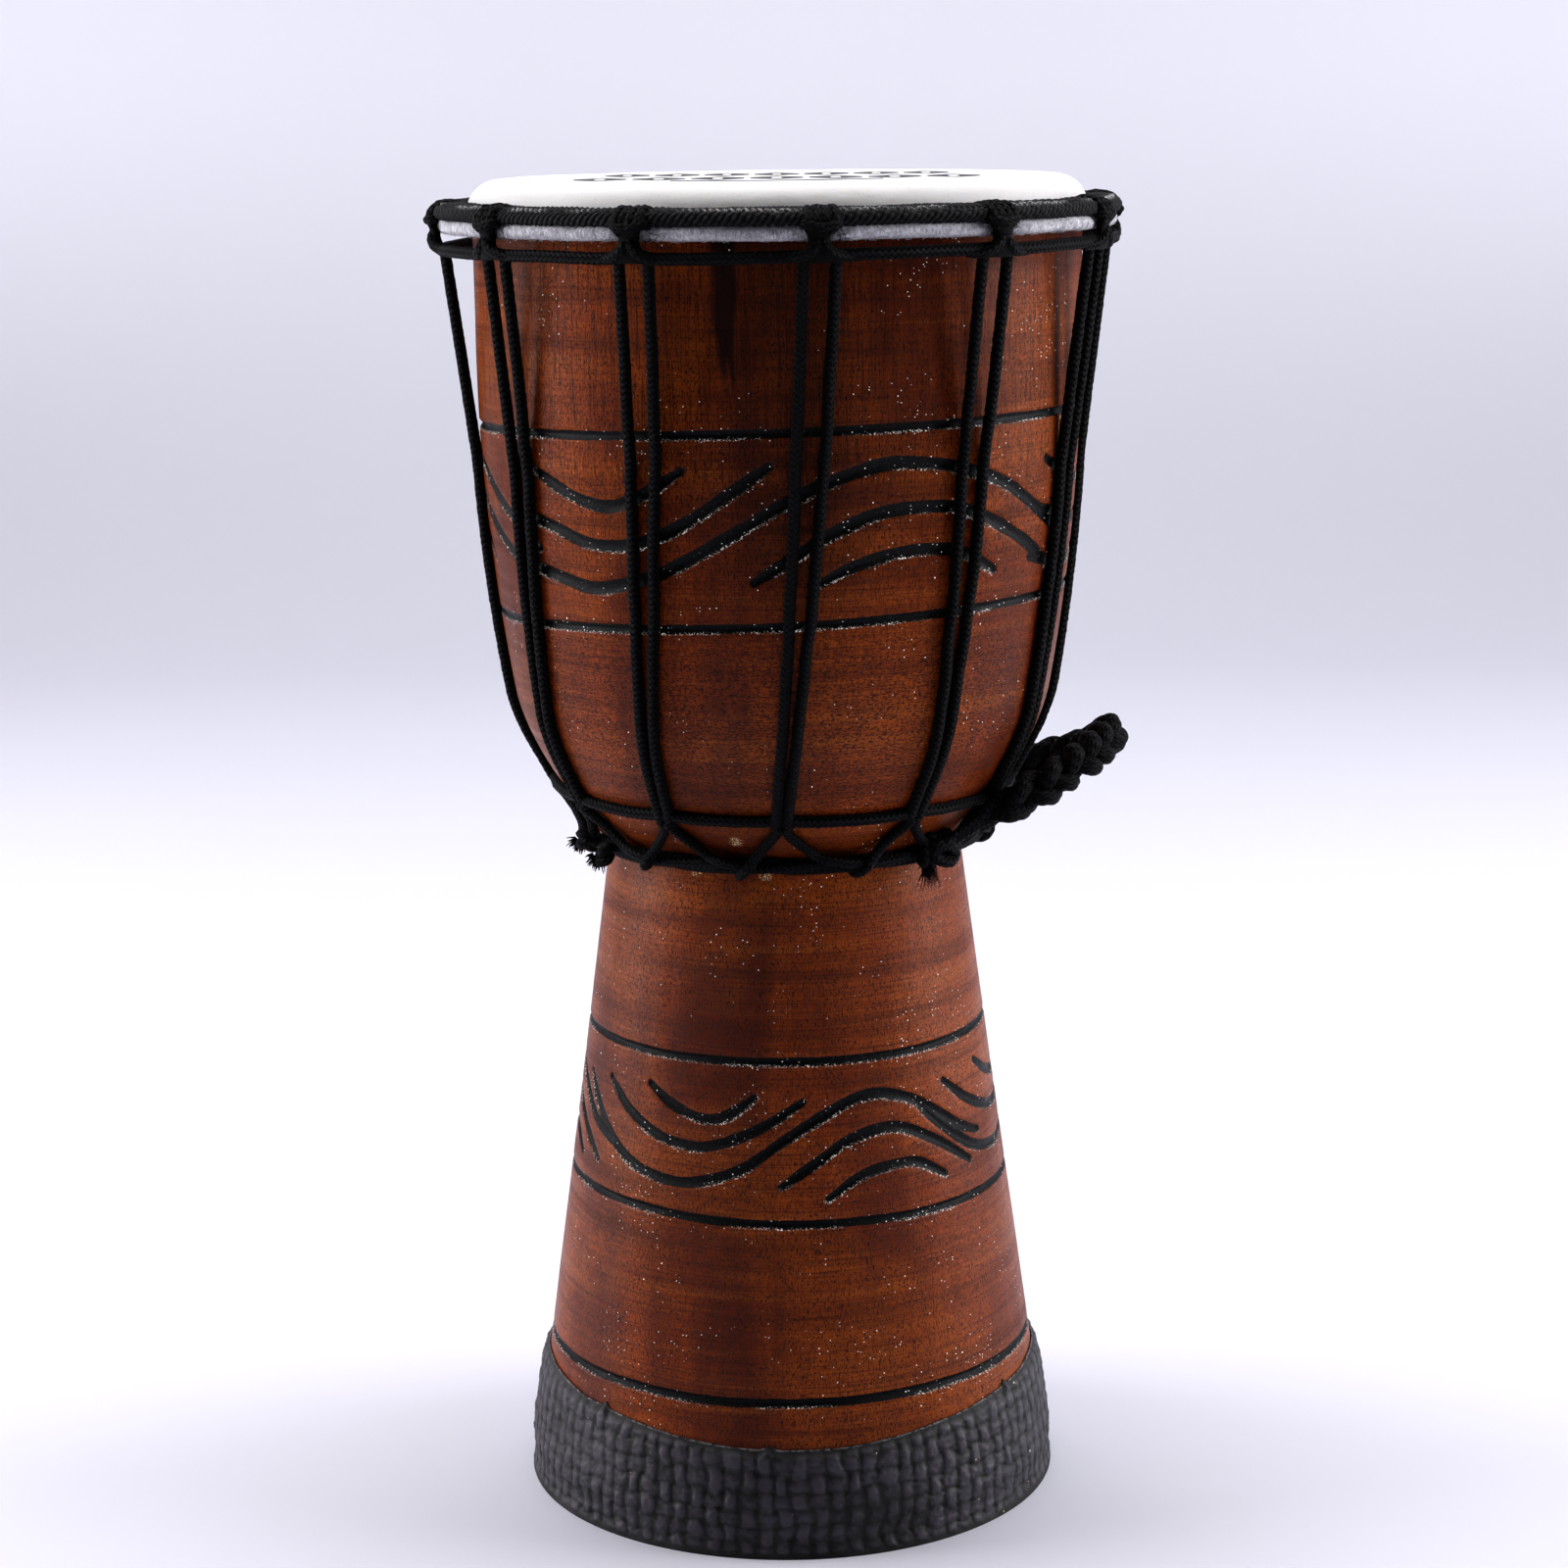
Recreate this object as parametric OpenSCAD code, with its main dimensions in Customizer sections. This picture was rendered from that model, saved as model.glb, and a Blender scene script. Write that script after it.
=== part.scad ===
// Rope-tuned goblet hand drum (djembe) with a plaited carry handle.
// Origin: centre of the foot's underside. +Z up, millimetres. The handle is on the +X side.

/* [Wooden shell] */
// Height of the wooden shell above the floor
shell_h = 399.8; // [330:0.2:480]
// Outside radius of the straight top of the bowl
bowl_r = 90.2; // [80:0.2:100]
// Height where the bowl stops being straight
bowl_straight_z = 356; // [340:1:365]
// Height where the gentle side of the bowl turns in to its underside
bowl_turn_z = 250; // [244:1:262]
// How quickly the side of the bowl draws in below the straight top
bowl_draw = 0.0008; // [0.0004:0.00005:0.0011]
// Height of the waist, where the bowl meets the foot
waist_z = 201; // [194:1:204]
// Outside radius at the waist
waist_r = 53.7; // [50:0.1:56]
// Outside radius of the foot at the floor
foot_r = 81.6; // [76:0.1:86]
// Wall thickness at the rim
rim_wall = 9.5; // [7:0.1:13]
// Wall thickness at the waist
waist_wall = 16; // [12:0.5:22]
// Wall thickness at the bottom of the foot
foot_wall = 9.5; // [7:0.1:13]
// Radius of the rounded edge that carries the skin
edge_r = 8; // [5:0.1:9]

/* [Turned grooves] */
// Width of each turned groove
ring_groove_w = 2.8; // [1.5:0.1:4]
// Depth of each turned groove
ring_groove_d = 1.1; // [0.6:0.1:2]
// Height of the upper groove on the bowl
groove_bowl_hi_z = 332.2; // [326:0.2:345]
// Height of the lower groove on the bowl
groove_bowl_lo_z = 277.7; // [268:0.2:282]
// Height of the upper groove on the foot
groove_foot_hi_z = 146.3; // [142:0.2:156]
// Height of the lower groove on the foot
groove_foot_lo_z = 98.9; // [88:0.2:102]
// Height of the groove above the rubber
groove_base_z = 46.2; // [44:0.2:60]

/* [Carved waves] */
// Width of each carved stroke
wave_w = 2.6; // [1.5:0.1:3.5]
// Depth of each carved stroke
wave_d = 1.0; // [0.5:0.1:1.5]
// Height difference between nested strokes on the bowl
bowl_wave_step = 11; // [9:0.5:12]
// Height difference between nested strokes on the foot
foot_wave_step = 9; // [7:0.5:10]

/* [Skin and hoops] */
// Thickness of the skin
skin_t = 1.3; // [0.8:0.1:1.6]
// Radius of the steel rod of the flesh ring
flesh_rod_r = 1.3; // [1:0.1:1.4]
// Radius of the steel rod of the crown ring
crown_rod_r = 1.9; // [1.5:0.1:2]
// Outside radius over the wrapped crown ring
crown_outer_r = 100.6; // [99:0.1:103]
// Height of the centre of the crown ring
crown_z = 392.4; // [391.8:0.1:392.6]
// Radius of the steel rod of the waist ring
waist_rod_r = 1.6; // [1.2:0.1:1.8]
// Radius over the cord wound on the waist ring
waist_wrap_r = 2.4; // [2.1:0.1:2.6]

/* [Lacing] */
// Number of hitches round the drum
hitches = 12; // [8:1:14]
// Radius of the lacing cord
cord_r = 1.7; // [1.2:0.1:1.8]
// Direction of the first hitch, in degrees right of the front
hitch_az = 6.5; // [0:0.5:15]
// How far the lacing leans on its way down, in degrees
lean_az = -6; // [-10:0.5:10]
// Height where each pair of strands runs together
apex_z = 219.5; // [218:0.5:226]
// Height of the draw cord
weave_z = 221.8; // [221:0.2:226]

/* [Carry handle] */
// Direction of the middle of the handle from its ends, in degrees above level
handle_lift = 26; // [0:1:30]
// Distance from the waist ring out to the middle of the handle
handle_reach = 61; // [56:1:76]
// Half the distance between the two lashings
handle_half = 43; // [36:0.5:46]
// Radius of one plaited strand
strand_r = 2.3; // [2.2:0.1:2.8]
// Number of turns each strand makes along the plait
plait_turns = 5.5; // [4:0.5:7]

/* [Rubber foot band] */
// Thickness of the rubber
rubber_t = 1.9; // [1.8:0.1:3]
// Height of the band at the front and the back
rubber_front_h = 32; // [26:0.5:34]
// Height of the band at the left and the right
rubber_side_h = 40; // [34:0.5:42]
// Width of the lip that turns in under the rim
rubber_lip = 8; // [5:0.5:9]

/* [Hidden] */

$fn = 96;
gap = 0.1;
wood_z0 = 2.2;
edge_z = shell_h - edge_r;
turn_r = bowl_r - bowl_draw * pow(bowl_straight_z - bowl_turn_z, 2);
// Control point of the curve under the bowl
under_z = bowl_turn_z - 18;
under_r = turn_r - 18 * 2 * bowl_draw * (bowl_straight_z - bowl_turn_z);
under_end_z = waist_z + 2;
under_end_r = waist_r + 1.3;
under_steps = 9;
foot_bow = 5;

roll_r = 2;
roll_z = crown_z - 4.4;
wrap_r = 2.3;
wrap_mid = crown_outer_r - wrap_r - 1.55;
waist_ring_z = waist_z + 4;
waist_ring_r = waist_r + 6.1;
crown_cord_z = roll_z - roll_r - cord_r - 2.5;
crown_cord_r = wrap_mid + 2.45;
strand_top_r = crown_cord_r - 0.5;
strand_slope = 0.1267;
handle_x = sqrt(pow(waist_ring_r + 2, 2) - pow(handle_half, 2));

// Outside radius of the wood at a height
function side_r(z) =
    z >= bowl_straight_z ? bowl_r : bowl_r - bowl_draw * pow(bowl_straight_z - z, 2);
function foot_out(z) =
    foot_r + (waist_r - foot_r) * z / waist_z - foot_bow * (z / waist_z) * (1 - z / waist_z) / 4;
function mix(a, b, t) = a + (b - a) * t;
function under_pt(t) = [
    mix(mix(under_end_r, under_r, t), mix(under_r, turn_r, t), t),
    mix(mix(under_end_z, under_z, t), mix(under_z, bowl_turn_z, t), t)
];
// Parameter on the curve under the bowl that gives a height
function under_t(z) =
    let (a = under_end_z - 2 * under_z + bowl_turn_z,
         b = 2 * (under_z - under_end_z),
         c = under_end_z - z)
    abs(a) < 0.001 ? -c / b : (-b + sqrt(b * b - 4 * a * c)) / (2 * a);
function wood_r(z) =
    z >= bowl_turn_z ? side_r(z) : z > under_end_z ? under_pt(under_t(z))[0] : foot_out(z);
function bowl_wall(z) =
    rim_wall + (waist_wall - rim_wall) * pow((shell_h - z) / (shell_h - waist_z), 2);
function foot_in(z) = foot_out(z) - mix(foot_wall, waist_wall, z / waist_z);
// Point at a direction (degrees right of the front), a radius and a height
function at(az, r, z) = [r * sin(az), -r * cos(az), z];

// ---------- cord helper: a round cord swept along a list of points ----------
function unit(v) = v / norm(v);
function tangent(p, i) = unit(p[min(i + 1, len(p) - 1)] - p[max(i - 1, 0)]);
function ring_at(c, t, r, n, up) =
    let (s = unit(cross(t, up)), w = cross(s, t))
    [for (k = [0:n - 1]) c + r * (cos(360 * k / n) * s + sin(360 * k / n) * w)];

module cord(p, r, n = 8, up = [0.31, 0.17, 0.94]) {
    m = len(p);
    rings = [for (i = [0:m - 1]) each ring_at(p[i], tangent(p, i), r, n, up)];
    walls = [for (i = [0:m - 2]) for (k = [0:n - 1])
        each [[i * n + k, (i + 1) * n + (k + 1) % n, (i + 1) * n + k],
              [i * n + k, i * n + (k + 1) % n, (i + 1) * n + (k + 1) % n]]];
    first = [for (k = [0:n - 1]) n - 1 - k];
    last = [for (k = [0:n - 1]) (m - 1) * n + k];
    polyhedron(rings, concat([first], walls, [last]));
}

// ---------- wood ----------
module ring_groove(z, r) {
    translate([0, 0, z])
        rotate_extrude()
            translate([r + ring_groove_w * 0.5 - ring_groove_d, 0])
                circle(r = ring_groove_w * 0.5, $fn = 48);
}

// Thin layer that follows the outside of the wood, used to keep carved strokes shallow
module carve_layer(za, zb, n) {
    step = (zb - za) / n;
    outer = [for (i = [0:n]) [wood_r(za + i * step) + 2, za + i * step]];
    inner = [for (i = [n:-1:0]) [wood_r(za + i * step) - wave_d, za + i * step]];
    rotate_extrude() polygon(concat(outer, inner));
}

// One arc-shaped stroke seen square on: an arc of a circle, open upwards or downwards
module stroke(az, r, z_mid, half, rise, smile) {
    arc_r = (half * half + rise * rise) / (2 * rise);
    side = smile ? 1 : -1;
    rotate([0, 0, az])
        translate([0, -r * 0.55, z_mid + side * arc_r])
            rotate([90, 0, 0])
                linear_extrude(r)
                    intersection() {
                        difference() {
                            circle(r = arc_r + wave_w * 0.5);
                            circle(r = arc_r - wave_w * 0.5);
                        }
                        translate([-half, side > 0 ? -arc_r * 1.1 : 0])
                            square([2 * half, arc_r * 1.1]);
                    }
}

module bowl_waves() {
    intersection() {
        carve_layer(284, 329, 4);
        for (k = [0:2]) {
            stroke(-33 + 120 * k, bowl_r, 312.5, 28, 11, true);
            stroke(-31 + 120 * k, bowl_r, 312.5 - bowl_wave_step, 42, 20, true);
            stroke(27 + 120 * k, bowl_r, 300, 26, 8, false);
            stroke(27 + 120 * k, bowl_r, 300 + bowl_wave_step, 44, 19, false);
        }
    }
    intersection() {
        carve_layer(284, 329, 4);
        for (k = [0:2]) {
            stroke(-34 + 120 * k, bowl_r, 312.5 - 2 * bowl_wave_step, 50, 20, true);
            stroke(25 + 120 * k, bowl_r, 300 + 2 * bowl_wave_step, 50, 20, false);
        }
    }
}

module foot_waves() {
    intersection() {
        carve_layer(102, 143, 3);
        for (k = [0:3]) {
            stroke(-24 + 90 * k, foot_r, 129, 17, 7, true);
            stroke(-24 + 90 * k, foot_r, 129 - foot_wave_step, 27, 14, true);
            stroke(27 + 90 * k, foot_r, 114, 17, 7, false);
            stroke(27 + 90 * k, foot_r, 114 + foot_wave_step, 26, 14, false);
        }
    }
}

module shell() {
    edge_pts = [for (i = [0:8]) [bowl_r - edge_r + edge_r * cos(i * 11.25),
                                 edge_z + edge_r * sin(i * 11.25)]];
    side_pts = [for (i = [0:7]) let (z = mix(bowl_turn_z, bowl_straight_z, i / 7))
                [side_r(z), z]];
    under = [for (i = [0:under_steps - 1]) under_pt(i / under_steps)];
    foot_pts = [for (i = [0:8]) let (z = mix(wood_z0, waist_z, i / 8)) [foot_out(z), z]];
    foot_inner = [for (i = [0:6]) let (z = mix(wood_z0, waist_z - 6, i / 6)) [foot_in(z), z]];
    bowl_inner = [for (i = [0:10]) let (z = mix(waist_z + 10, shell_h - 2, i / 10))
                  [wood_r(z) - bowl_wall(z), z]];
    inner_top = [bowl_r - rim_wall + 1.4, shell_h];
    outline = concat(foot_pts, under, side_pts, edge_pts, [inner_top],
                     [for (i = [10:-1:0]) bowl_inner[i]], [for (i = [6:-1:0]) foot_inner[i]]);
    color([0.33, 0.13, 0.07])
        difference() {
            rotate_extrude($fn = 180) polygon(outline);
            ring_groove(groove_bowl_hi_z, wood_r(groove_bowl_hi_z));
            ring_groove(groove_bowl_lo_z, wood_r(groove_bowl_lo_z));
            ring_groove(groove_foot_hi_z, wood_r(groove_foot_hi_z));
            ring_groove(groove_foot_lo_z, wood_r(groove_foot_lo_z));
            ring_groove(groove_base_z, wood_r(groove_base_z));
            bowl_waves();
            foot_waves();
        }
}

// ---------- skin, flesh ring and crown ring ----------
module drum_skin() {
    c_r = bowl_r - edge_r;
    out_r = edge_r + gap + skin_t;
    in_r = edge_r + gap;
    outer = [for (i = [0:10]) [c_r + out_r * cos(90 - 9 * i), edge_z + out_r * sin(90 - 9 * i)]];
    inner = [for (i = [10:-1:0]) [c_r + in_r * cos(90 - 9 * i), edge_z + in_r * sin(90 - 9 * i)]];
    top_z = edge_z + out_r;
    low_z = roll_z - roll_r;
    fold_r = crown_outer_r - 0.3 - roll_r;
    roll = [for (a = [90:-15:-90]) [fold_r + roll_r * cos(a), roll_z + roll_r * sin(a)]];
    fold = concat([[c_r + out_r, low_z + 2 * roll_r]], roll, [[c_r + in_r, low_z]]);
    color([0.92, 0.9, 0.84])
        rotate_extrude($fn = 180)
            difference() {
                polygon(concat([[0, top_z]], outer, fold, inner, [[0, edge_z + in_r]]));
                translate([wrap_mid - 1, roll_z]) circle(r = flesh_rod_r + 0.02, $fn = 48);
            }
}

module hoop(r, rod, z) {
    translate([0, 0, z])
        rotate_extrude($fn = 180) translate([r, 0]) circle(r = rod, $fn = 48);
}

module flesh_ring() {
    color([0.6, 0.6, 0.62]) hoop(wrap_mid - 1, flesh_rod_r, roll_z);
}

module crown_ring() {
    color([0.6, 0.6, 0.62]) hoop(wrap_mid, crown_rod_r, crown_z);
}

module crown_wrap() {
    color([0.05, 0.05, 0.05])
        translate([0, 0, crown_z])
            rotate_extrude($fn = 180)
                difference() {
                    union() {
                        translate([wrap_mid - 1.55, 0]) circle(r = wrap_r, $fn = 48);
                        translate([wrap_mid + 1.55, 0]) circle(r = wrap_r, $fn = 48);
                        translate([wrap_mid - 1.55, -wrap_r]) square([3.1, 2 * wrap_r]);
                    }
                    translate([wrap_mid, 0]) circle(r = crown_rod_r + 0.02, $fn = 48);
                }
}

// ---------- lacing ----------
// One of the two turns of a hitch: over the crown ring, down its outside, over the fold of skin
module hitch_turn(az, side) {
    r = cord_r + 0.25;
    edge = crown_outer_r + r + 0.4;
    top = crown_z + wrap_r + r + 0.5;
    wide = 2.7;
    slim = 2.05;
    p = [for (q = [[crown_outer_r - 7.6, top - 0.35, wide], [crown_outer_r - 4.6, top, wide],
                   [crown_outer_r - 2.2, top - 0.2, wide], [edge - 1.2, top - 1.4, wide],
                   [edge + 0.2, crown_z + 0.6, wide], [edge + 0.3, crown_z - 2.6, mix(wide, slim, 0.5)],
                   [edge, roll_z, slim], [edge - 0.5, crown_cord_z + 1.65, slim]])
         at(az + side * q[2] * 57.3 / q[0], q[0], q[1])];
    cord(p, r, 8, [0.02, 0.03, 1]);
}

module crown_hitches() {
    color([0.06, 0.06, 0.06])
        for (k = [0:hitches - 1]) {
            hitch_turn(hitch_az + 360 / hitches * k, -1);
            hitch_turn(hitch_az + 360 / hitches * k, 1);
        }
}

module crown_cord() {
    color([0.06, 0.06, 0.06]) hoop(crown_cord_r, cord_r, crown_cord_z);
}

// Height list and standing distance of a strand: taut at the top, lying on the bowl below
function strand_z(t) = mix(crown_cord_z - cord_r - gap, weave_z + 3, t);
function strand_lie(z) = wood_r(z) + cord_r + 0.4;
function strand_taut(z) = strand_top_r - strand_slope * (crown_cord_z - z);
function strand_r(z) = z < 300 ? strand_lie(z) : max(strand_lie(z), strand_taut(z));

module lacing_strand(az, side) {
    p = [for (i = [0:19])
         let (t = i / 19, z = strand_z(t), half = mix(3.1, 1.62, t), r = strand_r(z))
         at(az + lean_az * t + side * half * (90 / r), r, z)];
    cord(p, cord_r, 8, [0.9, 0.4, 0.05]);
}

module lacing_strands() {
    color([0.06, 0.06, 0.06])
        for (k = [0:hitches - 1]) {
            lacing_strand(hitch_az + 360 / hitches * k, -1);
            lacing_strand(hitch_az + 360 / hitches * k, 1);
        }
}

module weave_cord() {
    color([0.06, 0.06, 0.06])
        hoop(wood_r(weave_z) + cord_r + 0.5, cord_r - 0.1, weave_z);
}

// ---------- waist ring and its loops ----------
module waist_ring() {
    color([0.6, 0.6, 0.62]) hoop(waist_ring_r, waist_rod_r, waist_ring_z);
}

module waist_wrap() {
    color([0.05, 0.05, 0.05])
        translate([0, 0, waist_ring_z])
            rotate_extrude($fn = 180)
                translate([waist_ring_r, 0])
                    difference() {
                        circle(r = waist_wrap_r, $fn = 48);
                        circle(r = waist_rod_r + 0.02, $fn = 48);
                    }
}

module waist_loop(az, spread) {
    r = cord_r - 0.1;
    side = spread > 0 ? 1 : -1;
    lift = waist_wrap_r + r + 0.25;
    p = [at(az + side * 1.75, wood_r(apex_z - 1.2) + r + 0.6, apex_z - 1.2),
         at(az + side * 3.4, wood_r(apex_z - 4) + r + 0.75, apex_z - 4),
         at(az + spread * 0.6, wood_r(waist_ring_z + 6.5) + r + 1.5, waist_ring_z + 6.5),
         at(az + spread * 0.86, waist_ring_r + lift * 0.9, waist_ring_z + lift * 0.62),
         at(az + spread * 0.95, waist_ring_r + lift, waist_ring_z - 0.6),
         at(az + spread, waist_ring_r + lift * 0.72, waist_ring_z - lift * 0.76),
         at(az + spread * 1.02, waist_ring_r - 0.4, waist_ring_z - lift)];
    cord(p, r, 8, [0.9, 0.4, 0.05]);
}

module waist_loops() {
    color([0.06, 0.06, 0.06])
        for (k = [0:hitches - 1]) {
            waist_loop(hitch_az + lean_az + 360 / hitches * k, -11);
            waist_loop(hitch_az + lean_az + 360 / hitches * k, 11);
        }
}

// ---------- carry handle ----------
// Middle line of the plait: a rounded loop in a plane tipped up about the line between its ends
handle_in = 11;
function handle_mid(t) =
    let (a = mix(-90, 90, t),
         y = handle_half * sin(a) * 0.92,
         v = handle_in + (handle_reach - handle_in) * pow(max(cos(a), 0.0001), 0.85))
    [handle_x + v * cos(handle_lift), y,
     waist_ring_z + 2 + v * sin(handle_lift) * pow(v / handle_reach, 0.22)];
function handle_dir(t) = unit(handle_mid(min(t + 0.01, 1)) - handle_mid(max(t - 0.01, 0)));
function plait_pt(t, phase) =
    let (d = handle_dir(t),
         up = [-sin(handle_lift), 0, cos(handle_lift)],
         s = unit(cross(d, up)),
         a = 360 * plait_turns * t + phase)
    handle_mid(t) + plait_gather(t) * (4.25 * sin(a) * up + 2.9 * sin(2 * a) * s);
// The strands gather towards each end of the plait
function plait_gather(t) = mix(0.62, 1, min(1, min(t, 1 - t) / 0.2));
plait_steps = 56;

module handle_strand(phase) {
    p = [for (i = [0:plait_steps]) plait_pt(0.05 + 0.9 * i / plait_steps, phase)];
    color([0.05, 0.05, 0.05]) cord(p, strand_r, 8, [-sin(handle_lift), 0.013, cos(handle_lift)]);
}

module handle_strand_a() { handle_strand(0); }
module handle_strand_b() { handle_strand(120); }
module handle_strand_c() { handle_strand(240); }

// Three turns of cord round the waist ring that hold one end of the plait
module lashing(side) {
    az = 90 + side * asin(handle_half / (waist_ring_r + 2)) + side * 4;
    color([0.05, 0.05, 0.05])
        for (k = [-1:1])
            rotate([0, 0, az + k * 3.5])
                translate([0, -waist_ring_r - 0.3, waist_ring_z])
                    rotate([0, 90, 0])
                        rotate([0, 0, -168])
                            rotate_extrude(angle = 205, $fn = 60)
                                translate([waist_wrap_r + cord_r + 0.3, 0])
                                    circle(r = cord_r, $fn = 32);
}

module handle_lashing_front() { lashing(-1); }
module handle_lashing_rear() { lashing(1); }

module handle_tail() {
    color([0.05, 0.05, 0.05])
        for (k = [0:2])
            cord([for (i = [0:3])
                  at(33.5 + 3.4 * k, waist_ring_r - 0.6 + 0.3 * i,
                     waist_ring_z - waist_wrap_r - 1.3 - 3.6 * i)], 0.9 + 0.25 * k, 6, [1, 0.2, 0.1]);
}

module lacing_end_knot() {
    color([0.05, 0.05, 0.05])
        for (k = [0:1])
            rotate([0, 0, -57 - 12 * k])
                translate([0, -waist_ring_r - waist_wrap_r - 3.2 - 0.5 * k, waist_ring_z + 1.2])
                    union() {
                        sphere(r = 2.6, $fn = 48);
                        rotate([-12, 35, 0]) translate([0, 0, -7]) cylinder(h = 6, r = 1.5, $fn = 32);
                    }
}

// ---------- rubber ----------
module foot_rubber() {
    bulge = 0.5;
    n = 7;
    band = [for (i = [0:n]) let (z = mix(0, rubber_side_h, i / n))
            [foot_out(z) + rubber_t + bulge * sin(180 * min(1, z / rubber_side_h + 0.12)), z]];
    inner = [for (i = [n:-1:0]) let (z = mix(wood_z0 - gap, rubber_side_h, i / n))
             [foot_out(z) + gap, z]];
    sag = rubber_side_h - rubber_front_h;
    reach = foot_r + rubber_t;
    saddle_r = (reach * reach + sag * sag) / (2 * sag);
    color([0.07, 0.07, 0.075])
        intersection() {
            rotate_extrude($fn = 180)
                polygon(concat([[foot_r - rubber_lip, 0], [foot_r - 2.6, 0], [foot_r + 0.6, 2.4]],
                               [for (i = [1:n]) band[i]], inner,
                               [[foot_r - rubber_lip, wood_z0 - gap]]));
            translate([-reach * 1.2, 0, rubber_side_h - saddle_r])
                rotate([0, 90, 0])
                    cylinder(h = reach * 2.4, r = saddle_r, $fn = 240);
        }
}

shell();
drum_skin();
flesh_ring();
crown_ring();
crown_wrap();
crown_hitches();
crown_cord();
lacing_strands();
weave_cord();
waist_ring();
waist_wrap();
waist_loops();
handle_strand_a();
handle_strand_b();
handle_strand_c();
handle_lashing_front();
handle_lashing_rear();
handle_tail();
lacing_end_knot();
foot_rubber();
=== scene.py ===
import math

import bpy
import numpy as np
from mathutils import Matrix, Vector

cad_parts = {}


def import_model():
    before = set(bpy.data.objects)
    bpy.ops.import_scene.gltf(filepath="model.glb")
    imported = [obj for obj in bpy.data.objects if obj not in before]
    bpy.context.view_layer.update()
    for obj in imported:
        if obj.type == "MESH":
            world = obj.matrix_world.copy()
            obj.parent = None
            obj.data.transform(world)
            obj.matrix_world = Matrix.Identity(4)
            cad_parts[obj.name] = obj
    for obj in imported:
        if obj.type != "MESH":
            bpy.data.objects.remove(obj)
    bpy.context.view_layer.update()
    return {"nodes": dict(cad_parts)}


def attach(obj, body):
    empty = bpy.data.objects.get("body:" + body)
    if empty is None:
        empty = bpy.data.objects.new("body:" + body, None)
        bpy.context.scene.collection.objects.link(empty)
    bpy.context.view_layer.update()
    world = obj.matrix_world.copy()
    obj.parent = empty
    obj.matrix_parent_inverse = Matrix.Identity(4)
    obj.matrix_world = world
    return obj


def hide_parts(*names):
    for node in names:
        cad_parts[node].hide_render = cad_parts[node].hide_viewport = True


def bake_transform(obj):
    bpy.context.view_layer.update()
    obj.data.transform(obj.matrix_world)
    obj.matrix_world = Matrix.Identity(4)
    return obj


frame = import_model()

MM = 0.001
TAU = 2.0 * math.pi


# ------------------------------------------------------------------ small helpers
def smooth01(x):
    x = np.clip(x, 0.0, 1.0)
    return x * x * (3.0 - 2.0 * x)


def lerp(a, b, t):
    return a + (b - a) * t


def around(az, r, z):
    """Points at a direction (radians right of the front), radius and height, in mm."""
    return np.stack(np.broadcast_arrays(r * np.sin(az), -r * np.cos(az), z), -1)


def at(az_deg, r, z):
    """The same with the direction in degrees."""
    return around(np.radians(az_deg), r, z)


def circle(count):
    """Directions all the way round, from the back by the left, the front and the right."""
    return np.arange(count) / count * TAU - math.pi


def catmull(points, per_span):
    """Smooth curve through the points, per_span samples for each span."""
    p = np.asarray(points, float)
    p = np.vstack([2 * p[0] - p[1], p, 2 * p[-1] - p[-2]])
    out = []
    t = np.linspace(0, 1, per_span, endpoint=False)[:, None]
    for i in range(1, len(p) - 2):
        a, b, c, d = p[i - 1], p[i], p[i + 1], p[i + 2]
        out.append(0.5 * (2 * b + (c - a) * t + (2 * a - 5 * b + 4 * c - d) * t ** 2
                          + (3 * b - a - 3 * c + d) * t ** 3))
    out.append(p[-2:-1])
    return np.vstack(out)


def resample(p, step):
    """The same line with points every step mm."""
    seg = np.linalg.norm(np.diff(p, axis=0), axis=1)
    s = np.concatenate([[0], np.cumsum(seg)])
    n = max(4, int(round(s[-1] / step)) + 1)
    q = np.linspace(0, s[-1], n)
    return np.stack([np.interp(q, s, p[:, i]) for i in range(p.shape[1])], -1)


def value_noise(u, v, seed=0):
    """Smooth repeatable noise in -1..1 on two coordinates."""
    rng = np.random.default_rng(seed + 5000)
    table = rng.uniform(-1, 1, (64, 64))
    iu, iv = np.floor(u).astype(int), np.floor(v).astype(int)
    fu, fv = smooth01(u - iu), smooth01(v - iv)
    t = lambda a, b: table[a % 64, b % 64]
    low = lerp(t(iu, iv), t(iu + 1, iv), fu)
    high = lerp(t(iu, iv + 1), t(iu + 1, iv + 1), fu)
    return lerp(low, high, fv)


def add_values(mesh, values_by_name):
    """Named values on the points of a mesh, for the materials."""
    for key, values in values_by_name.items():
        a = mesh.attributes.new(key, "FLOAT", "POINT")
        a.data.foreach_set("value", np.asarray(values, np.float32).ravel())


def build(name, verts_mm, faces, material, values=None):
    """A smooth-shaded mesh object from points in mm."""
    mesh = bpy.data.meshes.new(name)
    verts = np.asarray(verts_mm, float) * MM
    mesh.from_pydata(verts.tolist(), [], faces if isinstance(faces, list) else faces.tolist())
    mesh.validate()
    mesh.materials.append(material)
    add_values(mesh, values or {})
    mesh.polygons.foreach_set("use_smooth", np.ones(len(mesh.polygons), bool))
    mesh.update()
    o = bpy.data.objects.new(name, mesh)
    bpy.context.scene.collection.objects.link(o)
    return o


def fit(piece, node=None, body="drum"):
    """Gives the piece its body, and hides the design solid that it stands for."""
    if node:
        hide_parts(node)
    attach(piece, body)


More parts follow.
